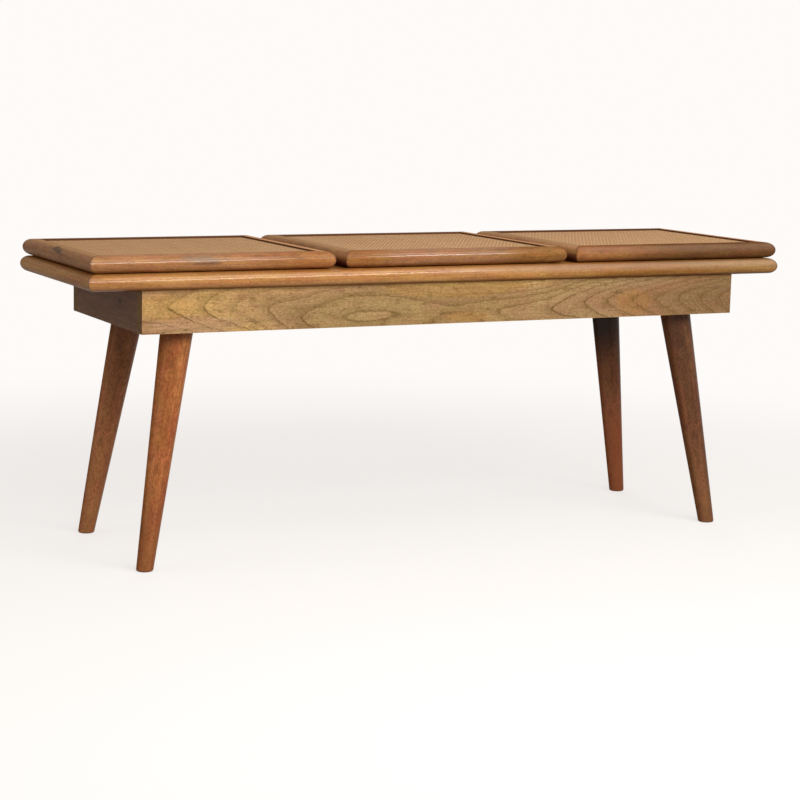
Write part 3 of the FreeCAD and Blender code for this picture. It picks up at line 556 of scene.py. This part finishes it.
# The loop and the dip after it are drawn more lightly than the arches.
lighter = ramp(tree, board_x, 0.24, 0.32, 0.0, 0.4)
lighter = times(tree, lighter, ramp(tree, board_x, 0.5, 0.58, 1.0, 0.0))
line_share = times(tree, line_share, figure(tree, "SUBTRACT", 1.0, lighter))
look = {
    "Ring": YEAR, "Pale": zone, "Warm": mixed(tree, 1.0, zone, colour(246, 238, 236), "MULTIPLY"),
    "Dark": APRON_DARK, "Lines": line_share, "Streaks": 0.35, "Pores": 0.5, "Gloss": 0.6,
    "Uneven": 0.0, "Late": 0.84, "Mottle": 0.65, "Flecks": 1.1, "Tinge": 0.04,
}
body = lay_timber(tree, shader, place, face, from_first, look, 0.05)
body = rub_edges(tree, body, APRON_PALE)
# Painted shade along the top of the board, under the overhang of the base frame.
painted_shade_under_frame = ramp(tree, board_z, board_height - 0.006, board_height, 0.0, 0.5)
body = mixed(tree, painted_shade_under_frame, body, colour(92, 62, 34))
tree.links.new(body, shader.inputs["Base Color"])
dress("apron_front_board", finish)

REAR_LOOK = {
    "Ring": 0.007, "Pale": APRON_PALE, "Warm": APRON_WARM, "Dark": APRON_DARK,
    "Lines": 0.6, "Streaks": 0.35, "Pores": 0.4, "Gloss": 0.55,
}
dress_timber("apron_rear_board", (1, 0, 0), REAR_LOOK, 5, (0, 0.06, 0.01), coat=0.05, edge=APRON_PALE)
END_LOOK = {
    "Ring": 0.007, "Pale": colour(154, 112, 84), "Warm": colour(132, 94, 68),
    "Dark": colour(74, 50, 38), "Lines": 0.5, "Streaks": 0.4, "Pores": 0.4, "Gloss": 0.55,
}
# Where each end board's knot lies on its outer face.
END_KNOTS = {"left": (-0.49, -0.06, 0.377), "right": (0.49, 0.07, 0.377)}
for seed, (side, middle) in enumerate(END_KNOTS.items(), 6):
    def end_marks(tree, body, middle=middle):
        reach = (0.01, 0.006, 0.004)
        return marked(tree, body, middle, reach, colour(50, 34, 26), colour(70, 50, 38), 0.85)

    part = "apron_%s_end" % side
    light = END_LOOK["Pale"]
    dress_timber(part, (0, 1, 0), END_LOOK, seed, (0, 0.06, 0.02), 0.04, 0.05, light, end_marks)
for seed, side in enumerate(("left", "right"), 8):
    dress_timber(side + "_divider", (0, 1, 0), BEARER_LOOK, seed, coat=0.0)

BEECH_LOOK = {
    "Ring": 0.003, "Pale": colour(214, 178, 132), "Warm": colour(198, 156, 108),
    "Dark": colour(140, 98, 62), "Lines": 0.3, "Streaks": 0.3, "Pores": 0.3, "Gloss": 0.65,
}
dress_timber("apron_dowels", (0, 1, 0), BEECH_LOOK, coat=0.0)
PLY_LOOK = {
    "Ring": 0.03, "Pale": colour(206, 172, 126), "Warm": colour(190, 150, 104),
    "Dark": colour(136, 100, 66), "Lines": 0.35, "Streaks": 0.25, "Pores": 0.3, "Gloss": 0.7,
}
dress_timber("box_floor", (1, 0, 0), PLY_LOOK, 2, (0, 0.1, 0.3), 0.12, 0.0)


# The base frame. Four rails with half-round outer edges, mitred at the corners
# with hidden dowels, over a board at each end and a cross rail under each gap.
# Oiled honey brown, and screwed down into the box from above.

BASE_PALE = colour(202, 146, 82)
BASE_WARM = colour(180, 118, 54)
BASE_DARK = colour(112, 66, 32)
BASE_LOOK = {
    "Ring": 0.005, "Pale": BASE_PALE, "Warm": BASE_WARM, "Dark": BASE_DARK,
    "Lines": 0.25, "Streaks": 0.4, "Pores": 0.4, "Gloss": 0.4, "Rub and highlight": 0.05, "Mottle": 0.3,
}

# The joint line of a mitre, with the dirt that settles in it.
mitre_seam, given, result = new_effect(
    "Mitre seam", {"Place": "Vector", "Corner": "Vector", "Lean": "Float"}, {"Share": "Float"}
)
off = vectors(mitre_seam, "SUBTRACT", given["Place"], given["Corner"])
off = put(mitre_seam, "ShaderNodeSeparateXYZ", {"Vector": off}).outputs
gap = times(mitre_seam, off["Y"], given["Lean"])
gap = figure(mitre_seam, "ABSOLUTE", figure(mitre_seam, "SUBTRACT", off["X"], gap))
crack = ramp(mitre_seam, gap, 0.0005, 0.0012, 1.0, 0.0)
grime = ramp(mitre_seam, gap, 0.0, 0.005, 0.35, 0.0)
mitre_seam.links.new(figure(mitre_seam, "MAXIMUM", crack, grime), result.inputs["Share"])


def with_mitres(tree, body, part, side, tint):
    """A rail's colour with the joint lines at its two ends."""
    low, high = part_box(part)
    ends = {
        "front": ((low.x, low.y), (high.x, low.y)), "rear": ((high.x, high.y), (low.x, high.y)),
        "left": ((low.x, low.y), (low.x, high.y)), "right": ((high.x, high.y), (high.x, low.y)),
    }[side]
    for (x, y), lean in zip(ends, (1.0, -1.0)):
        inputs = {"Place": own_place(tree), "Corner": (x, y, 0), "Lean": lean}
        seam = put(tree, "ShaderNodeGroup", inputs, node_tree=mitre_seam)
        body = mixed(tree, times(tree, seam.outputs["Share"], 0.8), body, tint)
    return body


def with_shaded_right_end(tree, body, start, end, shade):
    """A rail's colour with painted shade that deepens towards its right end."""
    ragged = noise(tree, own_place(tree), (12, 60, 60), 3.0)
    along = figure(tree, "MULTIPLY_ADD", ragged, 0.12, own_axes(tree)["X"])
    return mixed(tree, ramp(tree, along, start, end), body, shade, "MULTIPLY")


def with_painted_sheen(tree, body, start, end, flat, share):
    """A front rail's colour with a painted pale sheen on its round below the flat top, from one X on."""
    axes = own_axes(tree)
    along = ramp(tree, axes["X"], start, end)
    upper = ramp(tree, axes["Z"], flat - 0.016, flat - 0.007, 0.0, share)
    below = ramp(tree, axes["Z"], flat - 0.003, flat - 0.0005, 1.0, 0.0)
    return mixed(tree, times(tree, along, upper, below), body, colour(186, 170, 154))


def worn_sheen(stops):
    """A lacquer that is worn dull in places: how much is left at places along X."""
    def sheen(tree):
        along = own_axes(tree)["X"]
        left = stops[0][1]
        for (start, before), (end, after) in zip(stops, stops[1:]):
            change = ramp(tree, along, start, end, 0.0, after - before)
            left = figure(tree, "ADD", change, left)
        return left

    return sheen


ALONG = {"front": (1, 0, 0), "rear": (1, 0, 0), "left": (0, 1, 0), "right": (0, 1, 0)}
base_low, base_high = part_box("base_front_rail")
BASE_LEFT_LOOK = dict(BASE_LOOK, Pale=colour(190, 138, 82), Warm=colour(168, 114, 62))
for seed, (side, along) in enumerate(ALONG.items(), 10):
    part = "base_%s_rail" % side

    def base_shade_and_marks(tree, body, part=part, side=side):
        height = own_axes(tree)["Z"]
        # Painted shade at the top of the round, in the groove under the lid, and at its foot, where the
        # rail meets the box.
        groove_shade_share = ramp(tree, height, base_high.z - 0.0065, base_high.z - 0.0005, 0.0, 0.4)
        foot_share = ramp(tree, height, base_low.z + 0.0005, base_low.z + 0.0055, 0.75, 0.0)
        body = mixed(tree, groove_shade_share, body, BASE_DARK)
        body = mixed(tree, foot_share, body, BASE_DARK)
        if side == "front":
            # Painted shade towards the right end of the front rail, and a painted sheen on its round.
            body = with_shaded_right_end(tree, body, 0.1, 0.5, colour(222, 226, 226))
            body = with_painted_sheen(tree, body, -0.1, 0.15, base_high.z, 0.26)
        return with_mitres(tree, body, part, side, BASE_DARK)

    look = BASE_LEFT_LOOK if side == "left" else BASE_LOOK
    polish = {"front": worn_sheen([(0.0, 0.7), (0.1, 0.2)]), "rear": 0.5}.get(side, 0.0)
    dress_timber(part, along, look, seed, (0, 0.05, 0.04), coat=polish, marks_and_shade=base_shade_and_marks)
GAP_SHADE_TINT = colour(62, 36, 28)
for seed, side in enumerate(("left", "right"), 14):
    dress_timber("base_%s_end_board" % side, (0, 1, 0), BASE_LOOK, seed, coat=0.05)
    part = "base_%s_cross_rail" % side
    low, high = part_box(part)

    # Painted shade in a band across the cross rail, under the gap between two lids.
    def gap_shade(tree, body, middle=(low.x + high.x) / 2):
        off = figure(tree, "ABSOLUTE", figure(tree, "SUBTRACT", own_axes(tree)["X"], middle))
        return mixed(tree, ramp(tree, off, 0.006, 0.014, 0.85, 0.0), body, GAP_SHADE_TINT)

    dress_timber(part, (0, 1, 0), BASE_LOOK, seed + 3, coat=0.05, marks_and_shade=gap_shade)
dress_timber("base_corner_dowels", (1, 1, 0), BEECH_LOOK, coat=0.0)


SCREW_SIDES = 20


def new_object(name, data):
    """Put something new into the scene."""
    thing = bpy.data.objects.new(name, data)
    bpy.context.scene.collection.objects.link(thing)
    return thing


def screw_places(part, face, head):
    """Where the screws of a packed set stand, from the rims of their heads."""
    points = np.array([v.co for v in parts[part].data.vertices])
    rims = points[np.abs(points[:, 2] - face) < 0.00005, :2]
    places = []
    while len(rims):
        near = np.linalg.norm(rims - rims[0], axis=1) < head * 1.1
        places.append((rims[near].min(0) + rims[near].max(0)) / 2)
        rims = rims[~near]
    return places


def screw_profile(head, head_height, shank, length, pitch):
    """Depths and radii down a screw: its cone, its plain neck, then its thread and point."""
    levels = [(0.12 * head_height, head / 2, 0.0), (head_height, 0.42 * shank, 0.0)]
    neck_end = head_height + 0.25 * (length - head_height)
    levels.append((neck_end, 0.42 * shank, 0.0))
    point_start = length - 1.4 * shank
    for depth in np.arange(neck_end + pitch / 4, length, pitch / 4):
        taper = min(1.0, (length - depth) / (length - point_start) * 0.9 + 0.1)
        levels.append((depth, shank / 2 * taper, 0.24))
    return levels


def ring_of_points(shape, x, y, z, radii):
    """A level ring of points round a middle, one for each radius."""
    ring = []
    for number, radius in enumerate(radii):
        turn = 2 * math.pi * number / len(radii)
        ring.append(shape.verts.new((x + radius * math.cos(turn), y + radius * math.sin(turn), z)))
    return ring


def join_rings(shape, first, second, smooth):
    """Faces between two rings with as many points."""
    for k in range(len(first)):
        n = (k + 1) % len(first)
        shape.faces.new((first[k], first[n], second[n], second[k])).smooth = smooth


def screw_set(name, part, body, slot, finish, way, head, head_height, shank, pitch):
    """Countersunk screws with a cross recess, in the places of a packed set."""
    low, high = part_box(part)
    face = high.z if way < 0 else low.z
    arm, half = 0.3 * head, 0.065 * head
    cross = [
        (arm, -half), (arm, half), (half, half), (half, arm), (-half, arm), (-half, half),
        (-arm, half), (-arm, -half), (-half, -half), (-half, -arm), (half, -arm), (half, -half),
    ]
    recess_floor = face + way * 0.75 * head_height
    turns = np.arange(SCREW_SIDES) / SCREW_SIDES
    levels = screw_profile(head, head_height, shank, high.z - low.z, pitch)
    shape = bmesh.new()
    for x, y in screw_places(part, face, head):
        rim = ring_of_points(shape, x, y, face, [head / 2] * SCREW_SIDES)
        mouth = [shape.verts.new((x + u, y + v, face)) for u, v in cross]
        edges = [shape.edges.new((loop[k - 1], loop[k])) for loop in (rim, mouth) for k in range(len(loop))]
        bmesh.ops.triangle_fill(shape, edges=edges, use_beauty=True)
        bottom = [shape.verts.new((x + 0.5 * u, y + 0.5 * v, recess_floor)) for u, v in cross]
        join_rings(shape, mouth, bottom, False)
        shape.faces.new(bottom)
        above = rim
        for depth, radius, groove in levels:
            wave = np.abs(2 * ((depth / pitch - turns) % 1) - 1)
            below = ring_of_points(shape, x, y, face + way * depth, radius * (1 - groove * wave))
            join_rings(shape, above, below, above is not rim)
            above = below
        shape.faces.new(above)
    bmesh.ops.recalc_face_normals(shape, faces=shape.faces)
    mesh = bpy.data.meshes.new(name)
    shape.to_mesh(mesh)
    shape.free()
    mesh.materials.append(finish)
    screws = new_object(name, mesh)
    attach(screws, body)
    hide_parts(part)


FRAME_SCREW = {"head": 0.009, "head_height": 0.0026, "shank": 0.0045, "pitch": 0.0018}
screw_set("frame_screws", "base_frame_screws", "bench", "zinc_steel", zinc, -1, **FRAME_SCREW)


# The hinges. Six small brass butt hinges lie in the groove along the rear, one
# leaf let into the base frame and the other into the lid, on a brass pin.

brass = metal("Hinge brass", colour(206, 164, 92), 0.3, (60, 1400, 1400), colour(120, 88, 48))
dress("hinge_base_leaves", brass)
dress("hinge_pins", brass)
LEAF_SCREW = {"head": 0.005, "head_height": 0.001, "shank": 0.0025, "pitch": 0.001}
screw_set("base_leaf_screws", "hinge_base_screws", "bench", "hinge_brass", brass, -1, **LEAF_SCREW)


# The lids. Each is a mitred frame of half-round rails, stained a warm orange
# brown, with a plywood board in its rebate and a woven mat on the board.

LID_DARK = colour(96, 56, 34)
LID_LOOKS = {
    "left": (colour(186, 130, 76), colour(164, 104, 52)),
    "middle": (colour(182, 126, 72), colour(154, 98, 46)),
    "right": (colour(168, 110, 62), colour(140, 82, 40)),
}
LID_SHEEN = {
    "left": worn_sheen([(-0.34, 0.7), (-0.24, 0.25)]),
    "middle": worn_sheen([(-0.16, 0.2), (-0.08, 0.9), (0.05, 0.9), (0.12, 0.15)]),
    "right": 0.15,
}
LID_SIDES = {"front": "front_rail", "rear": "rear_rail", "left": "left_stile", "right": "right_stile"}
# The colour of the painted shade on each rail's lip beside the mat.
LIP_SHADE = colour(88, 56, 36)
STILE_PALE = colour(180, 126, 76)
STILE_WARM = colour(156, 106, 60)
# The flat tops of the stiles, with painted light and sheen that make them paler than their rounded edges.
STILE_LIT_TOPS = {"left": colour(176, 138, 100), "right": colour(212, 160, 116)}
LEDGE_WIDTH = 0.010
# How high the painted shade reaches on a lid's rounded edge and how dark it is, in a gap and elsewhere.
GAP_SHADED = (0.016, 0.9)
EDGE_SHADED = (0.004, 0.3)


def with_shaded_lip(tree, body, part, side):
    """A rail's colour with painted shade on the lip beside the mat."""
    low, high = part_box(part)
    axis, edge, way = {
        "front": ("Y", high.y, -1.0), "rear": ("Y", low.y, 1.0),
        "left": ("X", high.x, -1.0), "right": ("X", low.x, 1.0),
    }[side]
    axes = own_axes(tree)
    across = times(tree, figure(tree, "SUBTRACT", axes[axis], edge), way)
    across = figure(tree, "SUBTRACT", across, LEDGE_WIDTH)
    lip = ramp(tree, across, 0.0002, 0.0012, 0.9, 0.0)
    # On the rear rail the painted shade reaches further across its top.
    if side == "rear":
        lip = figure(tree, "MAXIMUM", lip, ramp(tree, across, 0.0, 0.026, 0.8, 0.0))
    upper = ramp(tree, axes["Z"], high.z - 0.010, high.z - 0.007)
    return mixed(tree, times(tree, lip, upper), body, LIP_SHADE)


def with_groove_shade(tree, body, part, reach, most):
    """A lid rail's colour with painted shade low on its rounded edge, over the groove and in the gaps
    between lids.
    """
    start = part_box(part)[0].z + 0.001
    share = ramp(tree, own_axes(tree)["Z"], start + 0.3 * reach, start + reach, most, 0.0)
    rounded_only = ramp(tree, facing_up(tree), -0.98, -0.8)
    return mixed(tree, times(tree, share, rounded_only), body, colour(88, 44, 38))


def stained(tree, body, middle, reach, tint):
    """A rail's colour with a weathered grey stain that runs out along the grain."""
    away = vectors(tree, "SUBTRACT", own_place(tree), middle)
    away = vectors(tree, "LENGTH", vectors(tree, "MULTIPLY", away, [1 / size for size in reach]))
    ragged = noise(tree, own_place(tree), (60, 300, 300), 3.0, 0.6)
    share = ramp(tree, figure(tree, "MULTIPLY_ADD", ragged, 1.6, away), 0.9, 2.0, 0.75, 0.0)
    return mixed(tree, share, body, tint)


# The left stile's knot: Y of its two halves, and how far they lie below the top.
KNOT_HALVES = ((0.009, 0.0025), (-0.010, 0.0045))
# The left front rail's grey stain and the shadow under it: X, how far behind the
# front and below the top, reach each way, and tint.
STAINS = (
    (-0.405, 0.002, 0.006, (0.036, 0.014, 0.007), colour(128, 108, 84)),
    (-0.4, 0.0, 0.0125, (0.03, 0.014, 0.0022), colour(92, 66, 46)),
)


def with_own_marks_and_shade(tree, body, lid, part, side):
    """A rail's colour with the marks that only this rail has, and the painted shade and sheen of the middle
    and right front rails.
    """
    low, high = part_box(part)
    if (lid, side) == ("left", "left"):
        for y, below_top in KNOT_HALVES:
            middle = (low.x + 0.0035, y, high.z - below_top)
            ring = colour(104, 78, 46)
            body = marked(tree, body, middle, (0.0115, 0.014, 0.004), colour(76, 58, 34), ring, 0.85)
    if (lid, side) == ("left", "front"):
        for x, behind, below_top, reach, tint in STAINS:
            body = stained(tree, body, (x, low.y + behind, high.z - below_top), reach, tint)
    if (lid, side) == ("middle", "front"):
        # Painted shade towards the right end of the rail.
        body = with_shaded_right_end(tree, body, 0.02, 0.2, colour(226, 230, 222))
    if (lid, side) == ("right", "front"):
        # Painted shade towards the right end of the rail, and a painted sheen on its round.
        body = with_shaded_right_end(tree, body, 0.26, 0.46, colour(194, 200, 192))
        body = with_painted_sheen(tree, body, 0.2, 0.22, high.z, 0.1)
    return body


seed = 20
for lid, (pale, warm) in LID_LOOKS.items():
    look = {
        "Ring": 0.005, "Pale": pale, "Warm": warm, "Dark": LID_DARK,
        "Lines": 0.3, "Streaks": 0.42, "Pores": 0.45, "Gloss": 0.38, "Rub and highlight": 0.06, "Mottle": 0.4,
    }
    for side, name in LID_SIDES.items():
        part = "%s_lid_%s" % (lid, name)

        def lid_shade_and_marks(tree, body, part=part, side=side, lid=lid):
            if side in STILE_LIT_TOPS:
                # Painted light: faces that look up are mixed towards the stile's top colour.
                lit_flat_top = ramp(tree, facing_up(tree), 0.8, 0.98, 0.0, 0.7)
                body = mixed(tree, lit_flat_top, body, STILE_LIT_TOPS[side])
            body = with_shaded_lip(tree, body, part, side)
            in_gap = side == "left" and lid != "left" or side == "right" and lid != "right"
            body = with_groove_shade(tree, body, part, *(GAP_SHADED if in_gap else EDGE_SHADED))
            body = with_own_marks_and_shade(tree, body, lid, part, side)
            return with_mitres(tree, body, part, side, LID_DARK)

        polish = {"front": LID_SHEEN[lid], "rear": 0.5}.get(side, 0.0)
        own_look = dict(look, Pale=STILE_PALE, Warm=STILE_WARM) if side == "left" else look
        dress_timber(part, ALONG[side], own_look, seed, coat=polish, marks_and_shade=lid_shade_and_marks)
        seed += 1
    dress_timber(lid + "_lid_panel_board", (1, 0, 0), PLY_LOOK, seed, (0, 0.1, 0.3), 0.12, 0.0)
    dress_timber(lid + "_lid_corner_dowels", (1, 1, 0), BEECH_LOOK, coat=0.0)
    dress(lid + "_lid_hinge_leaves", brass)
    screws = (lid + "_lid_leaf_screws", lid + "_lid_hinge_screws", lid + "_lid")
    screw_set(*screws, "hinge_brass", brass, 1, **LEAF_SCREW)


# The woven mats. Narrow strips of peeled rattan, plaited in a close twill, fill
# each frame a little below its rails. A strip that runs to the rear passes over
# two and under one, and each strip has its own shade of tan.

REARWARD_PITCH = 0.0021
SIDEWAYS_PITCH = 0.0035
STRIP_SWING = 0.00025
STRIP_THICKNESS = 0.0009


def over_at(column, row):
    """Whether the strip that runs to the rear lies on top at a crossing."""
    return (column - row) % 3 != 0


def strips(count, crossings, pitch, start, run_start, run_pitch, rises, tone_seed):
    """Points, faces and tones of the strips of one direction, along the second axis."""
    draws = np.random.default_rng(tone_seed)
    ends = run_start - run_pitch / 2, run_start + (crossings - 0.5) * run_pitch
    run = np.concatenate([[ends[0]], run_start + np.arange(crossings) * run_pitch, [ends[1]]])
    section = np.array([(-0.5, 0.0), (0.0, 0.9), (0.5, 0.0), (0.0, -0.9)])
    points, faces, tones = [], [], []
    ring = len(section)
    for number in range(count):
        middle = start + number * pitch + draws.normal(0, 0.03) * pitch
        heights = rises[number]
        heights = np.concatenate([[heights[0]], heights, [heights[-1]]])
        first = len(points)
        wide = pitch * draws.uniform(0.86, 0.96)
        for place, height in zip(run, heights):
            for side, up in section:
                points.append((middle + side * wide, place, height + up * STRIP_THICKNESS / 2))
        for step in range(len(run) - 1):
            for corner in range(ring):
                a = first + step * ring + corner
                b = first + step * ring + (corner + 1) % ring
                faces.append((a, b, b + ring, a + ring))
        faces.append(tuple(first + corner for corner in reversed(range(ring))))
        last = first + (len(run) - 1) * ring
        faces.append(tuple(last + corner for corner in range(ring)))
        tones += [draws.uniform(0, 1)] * (len(run) * ring)
    return np.array(points), faces, tones


rattan, shader = new_finish("Woven rattan")
tree = rattan.node_tree
tone = put(tree, "ShaderNodeAttribute", attribute_name="strip_tone").outputs["Fac"]
mottle = noise(tree, own_place(tree), (60, 60, 60), 3.0, 0.6)
fibre = noise(tree, own_place(tree), (900, 900, 900), 2.0)
share = figure(tree, "ADD", times(tree, tone, 0.6), times(tree, mottle, 0.4))
body = mixed(tree, share, colour(184, 141, 100), colour(208, 169, 127))
body = mixed(tree, ramp(tree, fibre, 0.4, 0.7, 0.0, 0.35), body, colour(150, 106, 72))
tree.links.new(body, shader.inputs["Base Color"])
give_surface(tree, shader, figure(tree, "MULTIPLY_ADD", fibre, 0.2, 0.45), fibre, 0.3, 0.0002)
shader.inputs["IOR"].default_value = 1.04

for number, lid in enumerate(LID_LOOKS):
    solid = lid + "_lid_woven_panel"
    low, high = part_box(solid)
    columns = int((high.x - low.x) / REARWARD_PITCH)
    rows = int((high.y - low.y) / SIDEWAYS_PITCH)
    column_pitch = (high.x - low.x) / columns
    row_pitch = (high.y - low.y) / rows
    crossing = over_at(np.arange(columns)[:, None], np.arange(rows)[None, :])
    middle = (low.z + high.z) / 2
    rise = np.where(crossing, middle + STRIP_SWING, middle - STRIP_SWING)
    fall = np.where(crossing, middle - STRIP_SWING, middle + STRIP_SWING).T
    first = (low.x + column_pitch / 2, low.y + row_pitch / 2)
    warp = strips(columns, rows, column_pitch, first[0], first[1], row_pitch, rise, 11 + number)
    weft = strips(rows, columns, row_pitch, first[1], first[0], column_pitch, fall, 31 + number)
    weft_points = weft[0][:, [1, 0, 2]]
    weft_faces = [tuple(reversed(face)) for face in weft[1]]
    offset = len(warp[0])
    mesh = bpy.data.meshes.new(lid + "_lid_mat")
    mesh.from_pydata(
        np.concatenate([warp[0], weft_points]).tolist(), [],
        warp[1] + [tuple(corner + offset for corner in face) for face in weft_faces],
    )
    mesh.attributes.new("strip_tone", "FLOAT", "POINT").data.foreach_set("value", warp[2] + weft[2])
    mesh.polygons.foreach_set("use_smooth", [True] * len(mesh.polygons))
    mesh.materials.append(rattan)
    mat = new_object(lid + "_lid_mat", mesh)
    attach(mat, lid + "_lid")
    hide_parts(solid)


# Rest pads. Two small felt discs under the front rail of each lid, glued into
# shallow holes, keep the lid a millimetre off the base frame.

felt, shader = new_finish("Pad felt")
tree = felt.node_tree
fuzz = noise(tree, own_place(tree), (2600, 2600, 2600), 4.0, 0.7)
tree.links.new(mixed(tree, fuzz, colour(96, 78, 62), colour(58, 46, 38)), shader.inputs["Base Color"])
give_surface(tree, shader, figure(tree, "MULTIPLY_ADD", fuzz, 0.15, 0.85), fuzz, 0.8, 0.0003)
for lid in LID_LOOKS:
    dress(lid + "_lid_rest_pads", felt)


# The studio. A pale floor that fades into a white surround, soft lamps in front,
# above, at the left and behind, a low strip whose reflection draws the shine
# along the front edges, and a camera that looks at the bench from its front left.

camera = new_object("Camera", bpy.data.cameras.new("Camera"))
camera.data.sensor_width = 36.0
camera.data.lens = 93.35
camera.data.shift_x = 0.0625
camera.data.shift_y = 0.0126
camera.data.clip_end = 50.0
CAMERA_PLACE = Vector((-1.4414, -2.8516, 0.7007))
CAMERA_YAW = 0.4405
CAMERA_PITCH = 0.1604
CAMERA_ROLL = -0.0188
ahead = Vector((
    math.sin(CAMERA_YAW) * math.cos(CAMERA_PITCH),
    math.cos(CAMERA_YAW) * math.cos(CAMERA_PITCH),
    -math.sin(CAMERA_PITCH),
))
level_right = Vector((math.cos(CAMERA_YAW), -math.sin(CAMERA_YAW), 0.0))
level_down = ahead.cross(level_right)
right = math.cos(CAMERA_ROLL) * level_right + math.sin(CAMERA_ROLL) * level_down
down = math.cos(CAMERA_ROLL) * level_down - math.sin(CAMERA_ROLL) * level_right
turn = Matrix((right, -down, -ahead)).transposed()
camera.matrix_world = Matrix.Translation(CAMERA_PLACE) @ turn.to_4x4()
bpy.context.scene.camera = camera
bpy.context.scene.view_settings.view_transform = "Standard"


def seen_directly(tree):
    """Whether a ray comes from the camera, or from a shiny or clear surface."""
    ray = put(tree, "ShaderNodeLightPath").outputs
    seen = figure(tree, "MAXIMUM", ray["Is Camera Ray"], ray["Is Glossy Ray"])
    return figure(tree, "MAXIMUM", seen, ray["Is Transmission Ray"])


SURROUND = colour(254, 251, 249)
floor_mesh = bpy.data.meshes.new("floor")
FLOOR_REACH = 14.0
shape = bmesh.new()
bmesh.ops.create_circle(shape, cap_ends=True, segments=96, radius=FLOOR_REACH)
shape.to_mesh(floor_mesh)
shape.free()
floor = new_object("floor", floor_mesh)
floor.location = (0, 0, -0.0005)
floor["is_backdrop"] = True
paper = bpy.data.materials.new("Floor paper")
paper.use_nodes = True
tree = paper.node_tree
tree.nodes.clear()
seen = seen_directly(tree)
far = vectors(tree, "LENGTH", own_place(tree))
fade = times(tree, ramp(tree, far, 0.7, 1.9, 0.7, 1.0), seen)
lit = put(tree, "ShaderNodeBsdfDiffuse", {"Color": mixed(tree, seen, colour(150, 146, 140), SURROUND)})
glow = put(tree, "ShaderNodeEmission", {"Color": SURROUND, "Strength": 1.0})
paper_mix = put(tree, "ShaderNodeMixShader", {0: fade, 1: lit.outputs[0], 2: glow.outputs[0]})
out = put(tree, "ShaderNodeOutputMaterial", {0: paper_mix.outputs[0]})
floor_mesh.materials.append(paper)

surround = bpy.data.worlds.new("Surround")
bpy.context.scene.world = surround
surround.use_nodes = True
tree = surround.node_tree
tree.nodes.clear()
seen = seen_directly(tree)
fill = put(tree, "ShaderNodeBackground", {"Color": colour(255, 248, 238), "Strength": 0.32})
white = put(tree, "ShaderNodeBackground", {"Color": SURROUND, "Strength": 1.0})
both = put(tree, "ShaderNodeMixShader", {0: seen, 1: fill.outputs[0], 2: white.outputs[0]})
put(tree, "ShaderNodeOutputWorld", {0: both.outputs[0]})


def soft_lamp(name, left_end, right_end, aim, height, power, tint):
    """A rectangular soft lamp between two ends that faces a point."""
    lamp = bpy.data.lights.new(name, "AREA")
    lamp.shape = "RECTANGLE"
    left_end, right_end = Vector(left_end), Vector(right_end)
    lamp.size = (right_end - left_end).length
    lamp.size_y = height
    lamp.energy = power
    lamp.color = tint
    middle = (left_end + right_end) / 2
    along = (right_end - left_end).normalized()
    back = middle - Vector(aim)
    back = (back - along * back.dot(along)).normalized()
    holder = new_object(name, lamp)
    turn = Matrix((along, back.cross(along), back)).transposed()
    holder.matrix_world = Matrix.Translation(middle) @ turn.to_4x4()


WARM_WHITE = (1.0, 0.985, 0.96)
soft_lamp("Front lamp", (-0.9, -1.7, 1.15), (-0.1, -1.7, 1.15), (-0.2, 0, 0.3), 0.7, 15, WARM_WHITE)
soft_lamp("High panel", (0.0, -1.45, 1.69), (0.95, -0.79, 1.99), (0.0, -0.16, 0.43), 0.6, 7.5, WARM_WHITE)
soft_lamp("Low strip", (0.0, -1.88, 0.98), (1.1, -1.46, 1.5), (0.0, -0.16, 0.43), 0.06, 15, WARM_WHITE)
soft_lamp("Left lamp", (-2.2, 0.6, 1.9), (-2.2, -1.0, 1.9), (-0.5, 0, 0.4), 0.8, 7, WARM_WHITE)
soft_lamp("Rear lamp", (2.0, 2.4, 1.6), (0.4, 2.4, 1.6), (0, 0, 0.3), 1.2, 14, (0.98, 0.98, 1.0))

low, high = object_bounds()
